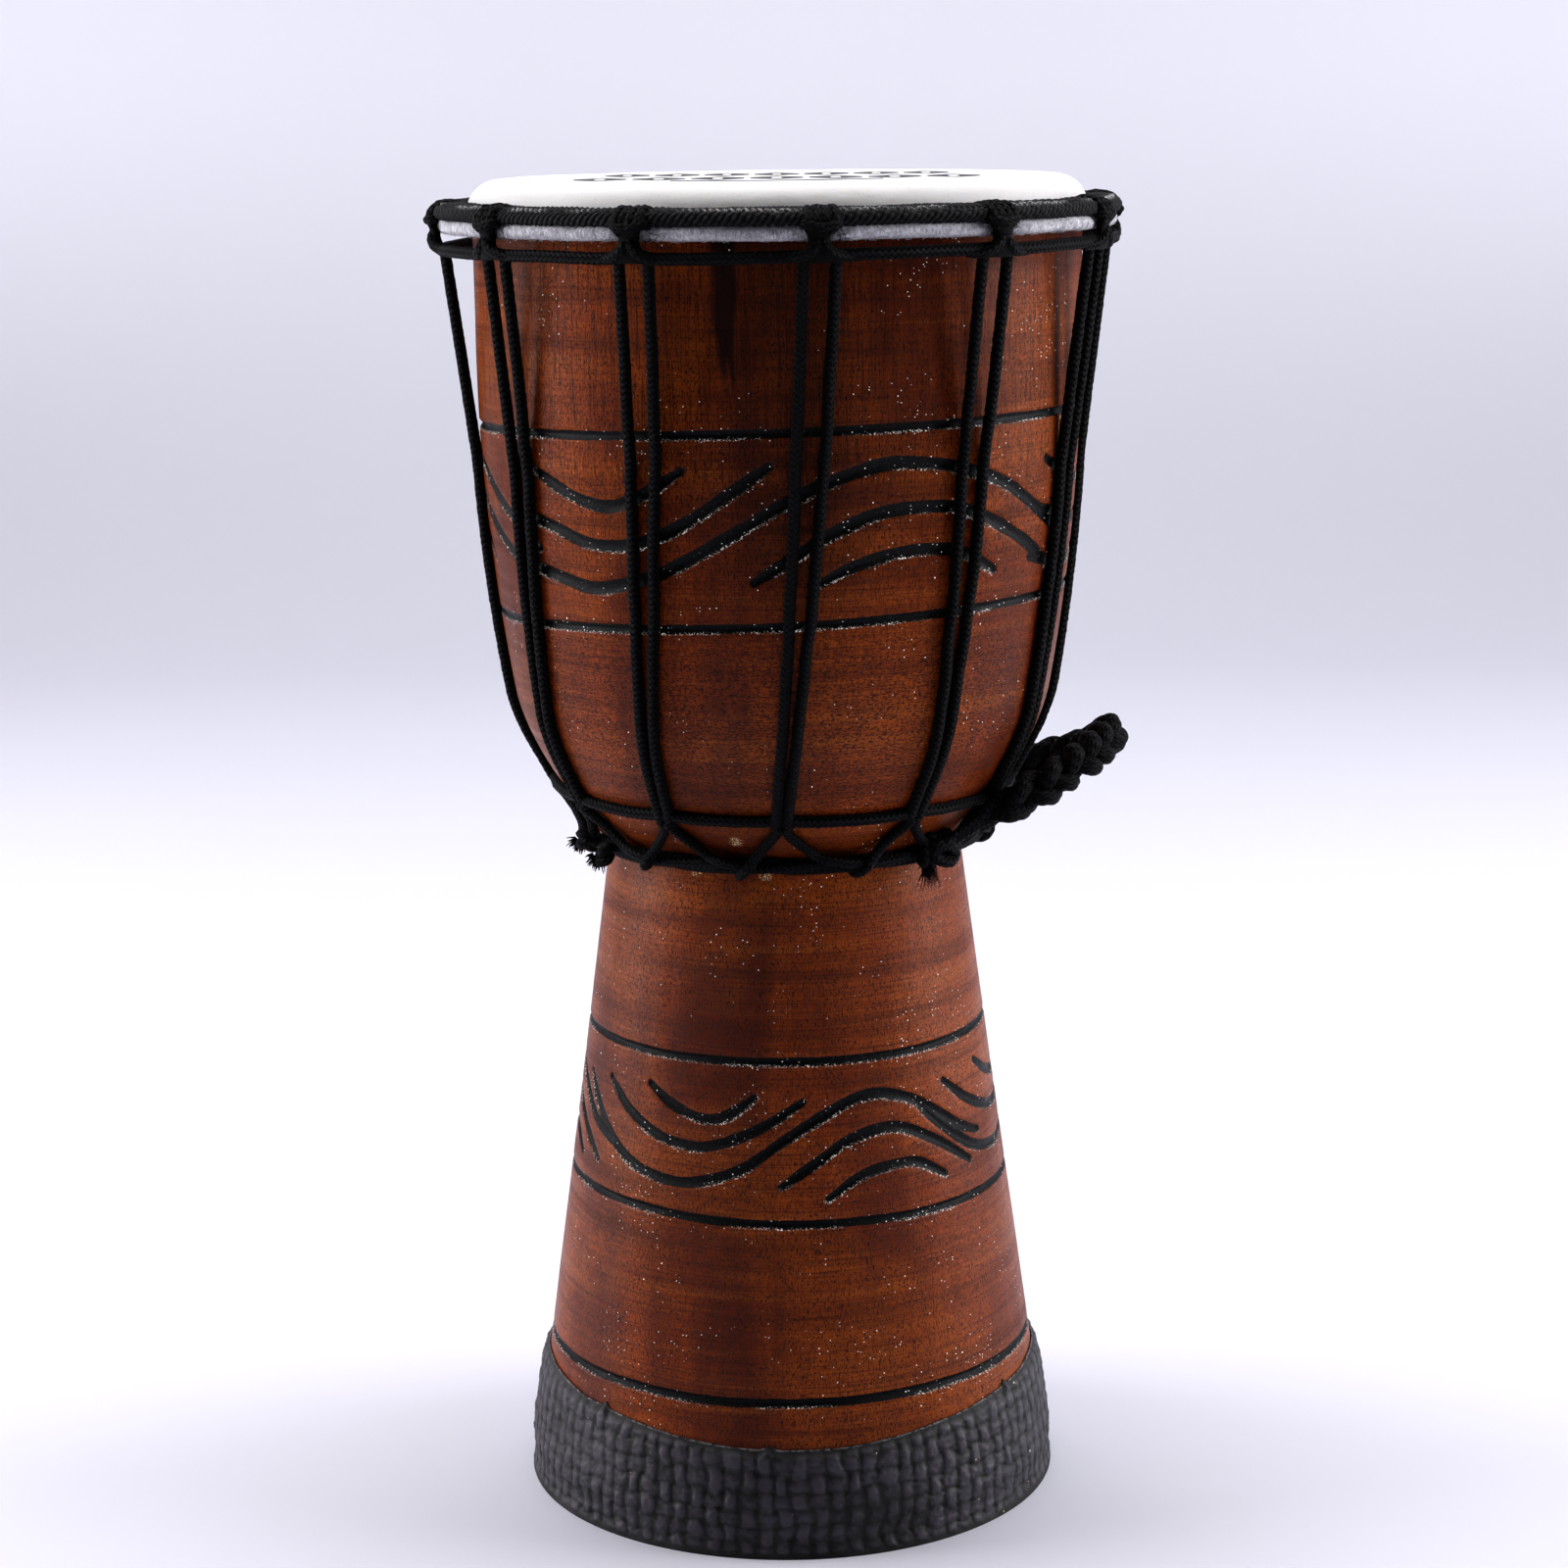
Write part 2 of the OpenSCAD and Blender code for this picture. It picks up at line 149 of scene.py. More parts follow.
def grid_faces(rows, cols, wrap_cols=True, wrap_rows=False):
    """Four-sided faces of a grid of points."""
    r = np.arange(rows if wrap_rows else rows - 1)
    c = np.arange(cols if wrap_cols else cols - 1)
    rr, cc = np.meshgrid(r, c, indexing="ij")
    a = rr * cols + cc
    b = rr * cols + (cc + 1) % cols
    d = ((rr + 1) % rows) * cols + cc
    e = ((rr + 1) % rows) * cols + (cc + 1) % cols
    return np.stack([a, b, e, d], -1).reshape(-1, 4)


class Pile:
    """Several meshes gathered into one."""

    def __init__(self):
        self.v, self.f, self.n, self.a = [], [], 0, []

    def add(self, v, f, **attrs):
        self.v.append(v)
        self.f.extend((np.asarray(f) + self.n).tolist())
        self.n += len(v)
        self.a.append((len(v), attrs))

    def cap(self, f):
        """Faces of the mesh that is about to be added."""
        self.f.extend((np.asarray(f) + self.n).tolist())

    def make(self, name, material):
        keys = sorted({k for _, a in self.a for k in a})
        attrs = {k: np.concatenate([np.broadcast_to(a.get(k, 0.0), (n,)) for n, a in self.a])
                 for k in keys}
        return build(name, np.vstack(self.v), self.f, material, attrs)


def frames_along(p):
    """Tangents and two side vectors carried along a line without twisting."""
    t = np.gradient(p, axis=0)
    t /= np.linalg.norm(t, axis=1)[:, None]
    s = np.cross(t[0], [0.31, 0.17, 0.94])
    s /= np.linalg.norm(s)
    sides = [s]
    for i in range(1, len(p)):
        s = sides[-1] - t[i] * (sides[-1] @ t[i])
        s /= np.linalg.norm(s)
        sides.append(s)
    s = np.array(sides)
    return t, s, np.cross(t, s)


def rope(pile, p, r, plies=3, pitch=3.6, depth=0.035, sides=16, closed=False,
         fuzz=0.08, seed=0, caps=True, laid=False):
    """A cord of radius r along the line p: braided, or three-strand if laid.

    Its fine braid is drawn by the material from the four values kept on its points.
    """
    t, s, w = frames_along(p)
    n = len(p)
    length = np.concatenate([[0], np.cumsum(np.linalg.norm(np.diff(p, axis=0), axis=1))])
    r = np.broadcast_to(np.asarray(r, float), (n,))
    turn = np.zeros(n)
    if closed:
        # carry the frame round and undo its drift so that both ends meet
        turn = -np.arctan2(s[-1] @ w[0], s[-1] @ s[0]) * np.arange(n) / (n - 1)
        pitch = length[-1] / max(1, round(length[-1] / pitch))
    k = np.arange(sides) / sides * TAU
    ang = k[None, :] + turn[:, None]
    lay = TAU * length[:, None] / pitch
    if laid:
        lobe = np.abs(np.cos(0.5 * plies * (k[None] - lay))) * 2 - 1.2
    else:
        lobe = np.sin(plies * k[None] + lay) * np.sin(plies * k[None] - lay)
    rad = r[:, None] * (1.0 + depth * lobe)
    if fuzz:
        rad = rad + fuzz * value_noise(length[:, None] * 1.3 + 3 * np.sin(k)[None] + 70,
                                       3 * np.cos(k)[None] + 20 + 0 * lay, seed)
    ca, sa = np.cos(ang), np.sin(ang)
    v = p[:, None] + rad[..., None] * (ca[..., None] * s[:, None] + sa[..., None] * w[:, None])
    v = v.reshape(-1, 3)
    lay2 = np.repeat(lay[:, 0], sides)
    k2 = np.tile(k, n)
    if closed:
        f = grid_faces(n - 1, sides, True, True)
        m = (n - 1) * sides
        v, lay2, k2 = v[:m], lay2[:m], k2[:m]
    else:
        f = grid_faces(n, sides, True, False)
        if caps:
            v = np.vstack([v, p[0] - t[0] * r[0] * 0.4, p[-1] + t[-1] * r[-1] * 0.4])
            lay2, k2 = np.append(lay2, [lay2[0], lay2[-1]]), np.append(k2, [0, 0])
            i = np.arange(sides)
            a, b = n * sides, n * sides + 1
            top = (n - 1) * sides
            pile.cap(np.stack([np.full(sides, a), (i + 1) % sides, i], -1))
            pile.cap(np.stack([np.full(sides, b), top + i, top + (i + 1) % sides], -1))
    pile.add(v, f, round_c=np.cos(k2), round_s=np.sin(k2), lay_c=np.cos(lay2), lay_s=np.sin(lay2))


def hair(pile, p, r):
    """One plain fibre along the line p."""
    rope(pile, p, r, plies=1, pitch=50, depth=0.0, sides=4, fuzz=0, caps=False)


# ------------------------------------------------------------------ the drum's outline (mm)
# Bowl: height of the wood, radius, where its side starts to draw in, where it turns under
SHELL_H, BOWL_R, STRAIGHT_Z, TURN_Z, DRAW = 399.8, 90.2, 356.0, 250.0, 0.0008
# Waist and foot: height of the waist, radii, and how far the side of the foot bows in
WAIST_Z, WAIST_R, FOOT_R, FOOT_BOW = 201.0, 53.7, 81.6, 5.0
# Wall of the bowl at the rim, thickness of the skin, radius of the cords round the crown
RIM_WALL, SKIN_T, CROWN_R = 9.5, 1.4, 99.0
TURN_R = BOWL_R - DRAW * (STRAIGHT_Z - TURN_Z) ** 2
UNDER_Z = TURN_Z - 18
UNDER_R = TURN_R - 36 * DRAW * (STRAIGHT_Z - TURN_Z)
END_Z, END_R = WAIST_Z + 2, WAIST_R + 1.3
WOOD_Z0, EDGE_R = 2.2, 8.0
EDGE_Z = SHELL_H - EDGE_R


def wood_r(z):
    """Outside radius of the wood at a height."""
    z = np.asarray(z, float)
    a = END_Z - 2 * UNDER_Z + TURN_Z
    b = 2 * (UNDER_Z - END_Z)
    t = (-b + np.sqrt(np.maximum(b * b - 4 * a * (END_Z - z), 0))) / (2 * a)
    under = (1 - t) ** 2 * END_R + 2 * t * (1 - t) * UNDER_R + t * t * TURN_R
    q = z / WAIST_Z
    foot = FOOT_R + (WAIST_R - FOOT_R) * q - FOOT_BOW * q * (1 - q) / 4
    side = BOWL_R - DRAW * np.maximum(STRAIGHT_Z - z, 0) ** 2
    return np.where(z >= TURN_Z, side, np.where(z > END_Z, under, foot))


def wood_inner(z):
    """Inside radius of the wood at a height: thickest at the waist."""
    z = np.asarray(z, float)
    waist_wall = 16.0
    more = waist_wall - RIM_WALL
    bowl = wood_r(z) - RIM_WALL - more * ((SHELL_H - z) / (SHELL_H - WAIST_Z)) ** 2
    foot = wood_r(z) - lerp(RIM_WALL, waist_wall, z / WAIST_Z)
    return np.where(z > WAIST_Z + 4, bowl, foot)


# Turned grooves: height, half width, and how far each one is off level (right side up, front up)
GROOVES = [(45.9, 1.45, 0.0, 0.0), (98.9, 1.35, -1.1, 0.0), (146.3, 1.3, 0.0, 0.2),
           (277.7, 1.35, 3.4, 1.8), (332.2, 1.35, 2.1, 1.5)]
# How far off level the carving is at each height, in the same two ways
TILT_Z = [0, 40, 45.9, 98.9, 146.3, 190, 250, 277.7, 332.2, 380, 400]
TILT_SIDE = [0, 0, 0, -1.1, 0, 0, 0.6, 3.4, 2.1, 0, 0]
TILT_FRONT = [0, 0, 0, 0, 0.2, 0, 0.3, 1.8, 1.5, 0, 0]

# Hand-carved strokes, one group of each band: direction in degrees and height in mm
BOWL_STROKES = [
    [(-52, 321.5), (-45, 316.7), (-38, 313.3), (-32, 312.5), (-25, 316.6), (-18, 323.2)],
    [(-55, 307.8), (-46, 304.8), (-38, 301.5), (-28, 302), (-18, 308.1), (-9, 317.1), (-2, 324.5)],
    [(-56, 293.5), (-46, 290.7), (-37, 288.7), (-26, 292.4), (-18, 297.6), (-8, 306.2),
     (0, 313.5), (9, 320.1), (19, 324.4), (28, 323.9), (34, 322.2), (45, 316.9), (57, 307.2),
     (68, 298.5)],
    [(-5, 292.1), (2, 298.7), (9, 305.3), (18, 310.7), (28, 311.8), (36, 310.1), (47, 303.1),
     (61, 292.2)],
    [(7, 291.5), (13, 295.9), (22, 299.3), (30, 299.6), (36, 297.7), (44, 291.8)]]
FOOT_STROKES = [
    [(-41, 136.8), (-33, 131.8), (-23, 128.8), (-16, 130.6), (-9, 136.1)],
    [(-58, 134.9), (-49, 127.7), (-40, 123), (-32, 120.8), (-22, 120.7), (-9, 126.1), (4, 134.7)],
    [(-71, 133), (-60, 121.7), (-49, 113.3), (-39, 110), (-27, 109.4), (-13, 114.4), (-2, 122.8),
     (9, 130.2), (19, 135), (28, 135), (39, 130.3), (52, 120.7), (62, 116)],
    [(-2, 109.8), (8, 117.3), (17, 123.1), (29, 125), (41, 119.4), (56, 108.7)],
    [(10, 105.9), (19, 111.9), (28, 113.8), (36, 113.1), (45, 107.5)]]
# Direction of each group of strokes, in degrees
BOWL_GROUPS = [0, -120, 111]
FOOT_GROUPS = [0, -117, 106]
NO_INK = -3.0


def tilt(z, az):
    """How far the carving is raised in a direction."""
    return (np.interp(z, TILT_Z, TILT_SIDE) * np.sin(az)
            + np.interp(z, TILT_Z, TILT_FRONT) * np.cos(az))


def stroke_ink(az, z, r, strokes, groups, half):
    """How far inside the nearest carved stroke each point is, in mm; negative outside.

    The second result is 1 for points below the middle of that stroke.
    """
    best = np.full(az.shape, NO_INK)
    under = np.zeros(az.shape)
    for gi, offset in enumerate(groups):
        for si, stroke in enumerate(strokes):
            line = catmull(stroke, 7)
            a0 = np.radians(line[:, 0] + offset)
            mid = a0.mean()
            da = (az - mid + math.pi) % TAU - math.pi
            near = np.abs(da) < (a0.max() - a0.min()) / 2 + 0.08
            near &= (z > line[:, 1].min() - 4) & (z < line[:, 1].max() + 4)
            if not near.any():
                continue
            rr = float(np.mean(r[near]))
            x, y = da[near] * rr, z[near]
            lx, ly = (a0 - mid) * rr, line[:, 1]
            dist = np.full(x.shape, 99.0)
            along = np.zeros(x.shape)
            below = np.zeros(x.shape)
            run = np.concatenate([[0], np.cumsum(np.hypot(np.diff(lx), np.diff(ly)))])
            for i in range(len(lx) - 1):
                ex, ey = lx[i + 1] - lx[i], ly[i + 1] - ly[i]
                q = np.clip(((x - lx[i]) * ex + (y - ly[i]) * ey) / (ex * ex + ey * ey), 0, 1)
                d = np.hypot(x - lx[i] - q * ex, y - ly[i] - q * ey)
                hit = d < dist
                dist[hit] = d[hit]
                along[hit] = run[i] + q[hit] * (run[i + 1] - run[i])
                below[hit] = (ly[i] + q[hit] * ey - y[hit])
            to_end = np.minimum(along, run[-1] - along)
            width = half * (0.72 + 0.28 * smooth01(to_end / 9.0))
            width = width * (1 + 0.10 * value_noise(along / 6.0, gi * 7 + si, 3))
            inside = width - dist
            closer = inside > best[near]
            best[near] = np.where(closer, inside, best[near])
            under[near] = np.where(closer, smooth01(below / 1.2 + 0.3), under[near])
    return best, under


def shell_heights():
    """Heights of the rows of points outside, close together where there is carving."""
    path = []
    z = WOOD_Z0
    dense = [(g[0] - 3.2, g[0] + 3.2, 0.5) for g in GROOVES]
    dense += [(104, 142, 0.85), (284, 327.5, 0.85)]
    while z < EDGE_Z:
        path.append(z)
        step = 3.2
        for a, b, d in dense:
            if a <= z < b:
                step = min(step, d)
            elif z < a:
                step = min(step, max(d, a - z))
        if 196 < z < 206 or 386 < z:
            step = min(step, 1.0)
        z += step
    return np.array(path)


def shell_mesh(material):
    """The turned and carved wood, outside, rim and inside."""
    cols = 720
    zs = shell_heights()
    # the rounded rim, then the inside down to the foot
    arc = np.linspace(0, math.pi / 2, 9)
    edge_z, edge_r = EDGE_Z + EDGE_R * np.sin(arc), BOWL_R - EDGE_R + EDGE_R * np.cos(arc)
    in_z = np.concatenate([[SHELL_H], np.linspace(SHELL_H - 2, WAIST_Z + 10, 26),
                           np.linspace(WAIST_Z + 5, WOOD_Z0, 30)])
    in_r = wood_inner(in_z)
    in_r[0] = BOWL_R - RIM_WALL + SKIN_T
    all_z = np.concatenate([zs, edge_z, in_z])
    all_r = np.concatenate([wood_r(zs), edge_r, in_r])
    A, Z = np.meshgrid(circle(cols), all_z)
    R = np.repeat(all_r[:, None], cols, 1)
    outer = np.zeros_like(Z, bool)
    outer[:len(zs)] = True
    Z = np.where(outer, Z + tilt(Z, A), Z)
    R = np.where(outer, wood_r(Z), R)
    ink = np.full(Z.shape, NO_INK)
    under = np.zeros(Z.shape)
    for gz, half, side, front in GROOVES:
        mid = gz + side * np.sin(A) + front * np.cos(A)
        mid = mid + 0.18 * value_noise(A * 3 + 20, gz, 5)
        width = half * (1 + 0.07 * value_noise(A * 14 + 60, gz, 6))
        inside = width - np.abs(Z - mid)
        under = np.where(inside > ink, smooth01((mid - Z) / 1.2 + 0.3), under)
        ink = np.maximum(ink, inside)
    for strokes, groups, half, lo, hi in ((BOWL_STROKES, BOWL_GROUPS, 1.86, 282, 330),
                                          (FOOT_STROKES, FOOT_GROUPS, 1.66, 101, 143)):
        pick = outer & (Z > lo) & (Z < hi)
        more, low = stroke_ink(A[pick], Z[pick], R[pick], strokes, groups, half)
        under[pick] = np.where(more > ink[pick], low, under[pick])
        ink[pick] = np.maximum(ink[pick], more)
    ink = np.where(outer, ink, NO_INK)
    depth = 0.95 * smooth01((ink + 0.25) / 1.5)
    # a slightly uneven, hand-finished surface
    wobble = 0.10 * value_noise(A * 5 + 11, Z / 40, 8) + 0.05 * value_noise(A * 16 + 5, Z / 13, 9)
    R = R - depth + np.where(outer, wobble, 0)
    faces = grid_faces(len(all_z), cols, True, True)[:, ::-1]
    return build("wood_shell", around(A, R, Z).reshape(-1, 3), faces, material,
                 {"ink": ink, "under": under})


# ------------------------------------------------------------------ node-based materials
class Mat:
    """Builds one Principled material from nodes."""

    def __init__(self, name, **settings):
        self.m = bpy.data.materials.new(name)
        self.m.use_nodes = True
        self.t = self.m.node_tree
        self.t.nodes.clear()
        self.out = self.t.nodes.new("ShaderNodeOutputMaterial")
        self.b = self.t.nodes.new("ShaderNodeBsdfPrincipled")
        self.t.links.new(self.b.outputs[0], self.out.inputs[0])
        self.pos = self.t.nodes.new("ShaderNodeTexCoord").outputs["Object"]
        for k, v in settings.items():
            self.set(k.replace("_", " "), v)

    def set(self, key, value):
        self.link(value, self.b.inputs[key])

    def link(self, value, socket):
        if isinstance(value, bpy.types.NodeSocket):
            self.t.links.new(value, socket)
        else:
            socket.default_value = value

    def op(self, kind, *args):
        n = self.t.nodes.new("ShaderNodeMath")
        n.operation = kind
        for i, a in enumerate(args):
            self.link(a, n.inputs[i])
        return n.outputs[0]

    def mul(self, a, b):
        return self.op("MULTIPLY", a, b)

    def add(self, a, b):
        return self.op("ADD", a, b)

    def sub(self, a, b):
        return self.op("SUBTRACT", a, b)

    def most(self, a, b):
        return self.op("MAXIMUM", a, b)

    def scale(self, vec, xyz):
        n = self.t.nodes.new("ShaderNodeMapping")
        self.link(vec, n.inputs["Vector"])
        n.inputs["Scale"].default_value = xyz
        return n.outputs[0]

    def noise(self, vec, scale, detail=4.0, rough=0.55, distort=0.0):
        n = self.t.nodes.new("ShaderNodeTexNoise")
        self.link(vec, n.inputs["Vector"])
        n.inputs["Scale"].default_value = scale
        n.inputs["Detail"].default_value = detail
        n.inputs["Roughness"].default_value = rough
        n.inputs["Distortion"].default_value = distort
        return n.outputs[0]

    def cells(self, vec, scale):
        n = self.t.nodes.new("ShaderNodeTexVoronoi")
        self.link(vec, n.inputs["Vector"])
        n.inputs["Scale"].default_value = scale
        return n

    def attr(self, name):
        n = self.t.nodes.new("ShaderNodeAttribute")
        n.attribute_name = name
        return n.outputs["Fac"]

    def step(self, value, lo, hi):
        """0 below lo, 1 above hi, smooth between; also falls if lo is above hi."""
        n = self.t.nodes.new("ShaderNodeMapRange")
        n.interpolation_type = "SMOOTHSTEP"
        self.link(value, n.inputs["Value"])
        n.inputs["From Min"].default_value = min(lo, hi)
        n.inputs["From Max"].default_value = max(lo, hi)
        n.inputs["To Min"].default_value = 0.0 if lo < hi else 1.0
        n.inputs["To Max"].default_value = 1.0 if lo < hi else 0.0
        return n.outputs[0]

    def mix(self, fac, a, b):
        """Colour a where fac is 0, colour b where it is 1."""
        n = self.t.nodes.new("ShaderNodeMix")
        n.data_type = "RGBA"
        self.link(fac, n.inputs[0])
        self.link(a, n.inputs[6])
        self.link(b, n.inputs[7])
        return n.outputs[2]

    def lerp(self, fac, a, b):
        """The same for numbers."""
        n = self.t.nodes.new("ShaderNodeMix")
        n.data_type = "FLOAT"
        self.link(fac, n.inputs[0])
        self.link(a, n.inputs[2])
        self.link(b, n.inputs[3])
        return n.outputs[0]

    def axis(self, vec, i):
        n = self.t.nodes.new("ShaderNodeSeparateXYZ")
        self.link(vec, n.inputs[0])
        return n.outputs[i]

    def bump(self, height, distance, strength=1.0, after=None):
        n = self.t.nodes.new("ShaderNodeBump")
        n.inputs["Distance"].default_value = distance
        n.inputs["Strength"].default_value = strength
        self.link(height, n.inputs["Height"])
        if after is not None:
            self.link(after, n.inputs["Normal"])
        return n.outputs[0]


def rgb(r, g, b):
    return (r, g, b, 1.0)


def specks(m, scale, size, share, patch_scale, patch_lo, patch_hi):
    """Round specks: how close, how big, what share of the cells has one, and how patchy."""
    c = m.cells(m.pos, scale)
    on = m.op("LESS_THAN", c.outputs["Distance"], size)
    on = m.mul(on, m.op("GREATER_THAN", m.axis(c.outputs["Color"], 0), 1 - share))
    return m.mul(on, m.step(m.noise(m.pos, patch_scale, 2, 0.5), patch_lo, patch_hi))


def wood_grain(m):
    """Colour of the stained wood, and where its pores are."""
    p = m.pos
    z = m.axis(p, 2)
    flame = m.noise(m.scale(p, (30, 30, 3.0)), 1.0, 4, 0.55, 0.5)
    cloud = m.noise(p, 17, 4, 0.6, 0.4)
    band = m.noise(m.scale(p, (7, 7, 170)), 1.0, 5, 0.65, 0.3)
    turning = m.noise(m.scale(p, (26, 26, 3100)), 1.0, 3, 0.6)
    fibre = m.noise(m.scale(p, (2300, 2300, 60)), 1.0, 3, 0.6)
    dash = m.noise(m.scale(p, (2500, 2500, 1000)), 1.0, 2, 0.5)
    scratch = m.noise(m.scale(p, (900, 900, 2500)), 1.0, 2, 0.55)
    col = m.mix(m.step(flame, 0.34, 0.66), rgb(0.112, 0.0135, 0.0008), rgb(0.300, 0.054, 0.0030))
    col = m.mix(m.mul(m.step(cloud, 0.42, 0.66), 0.55), col, rgb(0.42, 0.096, 0.0045))
    col = m.mix(m.mul(m.step(band, 0.46, 0.70), 0.55), col, rgb(0.074, 0.0105, 0.0010))
    col = m.mix(m.mul(m.step(band, 0.48, 0.30), 0.30), col, rgb(0.47, 0.135, 0.0100))
    # turning marks show low down, upright fibres higher up
    turned = m.lerp(m.step(z, 0.30, 0.36), 0.55, 0.30)
    col = m.mix(m.mul(m.step(turning, 0.50, 0.62), turned), col, rgb(0.060, 0.0105, 0.0020))
    upright = m.lerp(m.step(z, 0.28, 0.34), 0.45, 0.80)
    col = m.mix(m.mul(m.step(fibre, 0.48, 0.62), upright), col, rgb(0.066, 0.0115, 0.0020))
    # pores stand upright on the straight sides and lie along the turning where the bowl curves in
    lying = m.mul(m.step(z, 0.208, 0.222), m.step(z, 0.300, 0.262))
    tall_pore = m.mul(m.step(dash, 0.55, 0.60), m.lerp(lying, 1.0, 0.45))
    flat_pore = m.mul(m.step(scratch, 0.52, 0.56), m.lerp(lying, 0.25, 1.0))
    pore = m.most(tall_pore, flat_pore)
    col = m.mix(m.mul(pore, 0.78), col, rgb(0.018, 0.0036, 0.0014))
    # real stains, and painted shade on the front of the upper bowl, both darken the wood here
    col = m.mix(m.mul(m.attr("stain_and_shade"), 0.93), col, rgb(0.008, 0.0024, 0.0016))
    relief = m.sub(m.mul(turning, 0.55), m.mul(pore, 0.9))
    return col, relief, band


def wood_material():
    """Stained, rubbed mahogany: turning streaks, short dark pores, painted carving, dust, and painted
    highlights on the lower lips of the cuts; dust and lips glow.
    """
    m = Mat("mahogany")
    p = m.pos
    base, relief, band = wood_grain(m)
    # black paint in the carving, broken at its edge
    rag = m.noise(p, 1300, 3, 0.75)
    edge = m.add(m.attr("ink"), m.mul(m.sub(rag, 0.5), 0.95))
    paint = m.step(edge, -0.04, 0.10)
    glitter = m.mul(paint, m.step(m.noise(p, 1700, 2, 0.8), 0.68, 0.71))
    # painted highlight: bright specks on the chipped lower lip of each cut, the edge that faces up to
    # the light
    near = m.mul(m.step(edge, -0.50, -0.15), m.step(edge, 0.55, 0.15))
    chip_highlight = m.step(m.noise(p, 1900, 2, 0.9), 0.58, 0.60)
    run = m.step(m.noise(p, 48, 2, 0.5), 0.42, 0.56)
    lip = m.mul(m.mul(near, chip_highlight), m.mul(run, m.attr("under")))
    colour = m.mix(paint, base, rgb(0.0030, 0.0036, 0.0044))
    colour = m.mix(m.mul(glitter, 0.7), colour, rgb(0.20, 0.21, 0.22))
    # dust and sanding specks, thicker in patches and beside the carving
    by_cut = m.step(m.attr("ink"), -2.9, -0.6)
    dust = m.most(specks(m, 640, 0.110, 0.30, 34, 0.56, 0.62),
                  m.most(specks(m, 230, 0.052, 0.20, 15, 0.46, 0.58),
                         specks(m, 1100, 0.16, 0.20, 52, 0.56, 0.62)))
    dust = m.most(dust, m.mul(by_cut, specks(m, 800, 0.13, 0.30, 60, 0.48, 0.54)))
    # dust is white, and the lips take the painted highlight
    dust_and_highlight = m.most(dust, m.mul(lip, 0.80))
    colour = m.mix(dust_and_highlight, colour, rgb(0.86, 0.83, 0.78))
    # dried glue in wandering lines
    squiggle = m.op("ABSOLUTE", m.sub(m.noise(p, 620, 1, 0.4, 2.2), 0.5))
    glue = m.mul(m.attr("glue"), m.step(squiggle, 0.060, 0.020))
    m.set("Base Color", m.mix(m.step(glue, 0.35, 0.6), colour, rgb(0.90, 0.66, 0.38)))
    rough = m.lerp(paint, m.lerp(m.step(band, 0.4, 0.7), 0.36, 0.46), 0.42)
    m.set("Roughness", m.lerp(dust_and_highlight, rough, 0.8))
    m.set("Coat Weight", m.lerp(paint, 0.0, 0.05))
    m.set("Coat Roughness", 0.30)
    low_shine = m.lerp(m.step(m.axis(p, 2), 0.30, 0.24), 0.10, 0.17)
    m.set("Specular IOR Level", m.lerp(paint, low_shine, 0.10))
    # painted glow: dust specks and highlighted lips give off light of their own
    m.set("Emission Color", rgb(1.0, 0.97, 0.92))
    m.set("Emission Strength", m.mul(dust_and_highlight, 0.62))
    grain = m.bump(relief, 0.00016, 0.85)
    painted = m.bump(m.mul(paint, m.noise(p, 1500, 3, 0.7)), 0.0003, 0.8, grain)
    m.set("Normal", m.bump(dust_and_highlight, 0.0002, 0.7, painted))
    return m.m


def cord_material(name="black_cord", tone=0.0027, across=6, pick=2):
    """Black braided cord: over-and-under bundles crossing on a slant, fine filaments, lint, and
    painted shade in the hollows of the braid.
    """
    m = Mat(name)
    p = m.pos
    around = m.op("ARCTAN2", m.attr("round_s"), m.attr("round_c"))
    lay = m.op("ARCTAN2", m.attr("lay_s"), m.attr("lay_c"))
    a = m.mul(around, across / TAU)
    b = m.mul(lay, pick / TAU)
    u, v = m.add(a, b), m.sub(a, b)
    ridge_u = m.op("SINE", m.mul(m.op("FRACT", u), math.pi))
    ridge_v = m.op("SINE", m.mul(m.op("FRACT", v), math.pi))
    odd = m.op("PINGPONG", m.add(m.op("FLOOR", u), m.op("FLOOR", v)), 1.0)
    braid = m.lerp(odd, ridge_u, ridge_v)
    fil = m.noise(p, 2400, 3, 0.7, 0.8)
    patch = m.noise(p, 90, 3, 0.6)
    lint = m.step(m.noise(p, 1700, 2, 0.6), 0.74, 0.78)
    height = m.add(m.mul(braid, 0.75), m.mul(fil, 0.45))
    height = m.add(height, m.mul(m.attr("rib"), 0.75))
    # painted shade and highlight: the hollows of the braid are coloured darker, its crests lighter
    col = m.mix(m.step(height, 0.25, 1.05), rgb(tone * 0.2, tone * 0.2, tone * 0.24),
                rgb(tone * 2.6, tone * 2.6, tone * 3.1))
    col = m.mix(m.mul(m.step(patch, 0.5, 0.72), 0.35), col,
                rgb(tone * 1.9, tone * 1.8, tone * 1.9))
    col = m.mix(m.mul(lint, 0.3), col, rgb(0.16, 0.155, 0.15))
    m.set("Base Color", col)
    m.set("Roughness", 0.60)
    m.set("Specular IOR Level", 0.09)
    m.set("Normal", m.bump(height, 0.00065, 0.85))
    return m.m


# The ornament is drawn long from front to back, because the head is seen almost edge on
ORNAMENT_Y = -0.020


def lozenges(m, x, y, y_mid, pitch, half_x):
    """A row of long six-sided lozenges, each with a slot in it, in metres."""
    taper, flat, line = 0.0130, 0.0075, 0.0006
    cell = m.sub(m.op("FRACT", m.add(m.op("DIVIDE", x, pitch), 0.5)), 0.5)
    far = m.op("ABSOLUTE", m.sub(y, y_mid))
    far = m.most(m.sub(far, flat), 0.0)
    size = m.add(m.mul(m.op("ABSOLUTE", cell), taper / 0.46), far)
    slot = taper * 0.16
    ring = m.mul(m.step(size, taper, taper - line), m.step(size, slot, slot + line))
    return m.mul(ring, m.op("LESS_THAN", m.op("ABSOLUTE", x), half_x))


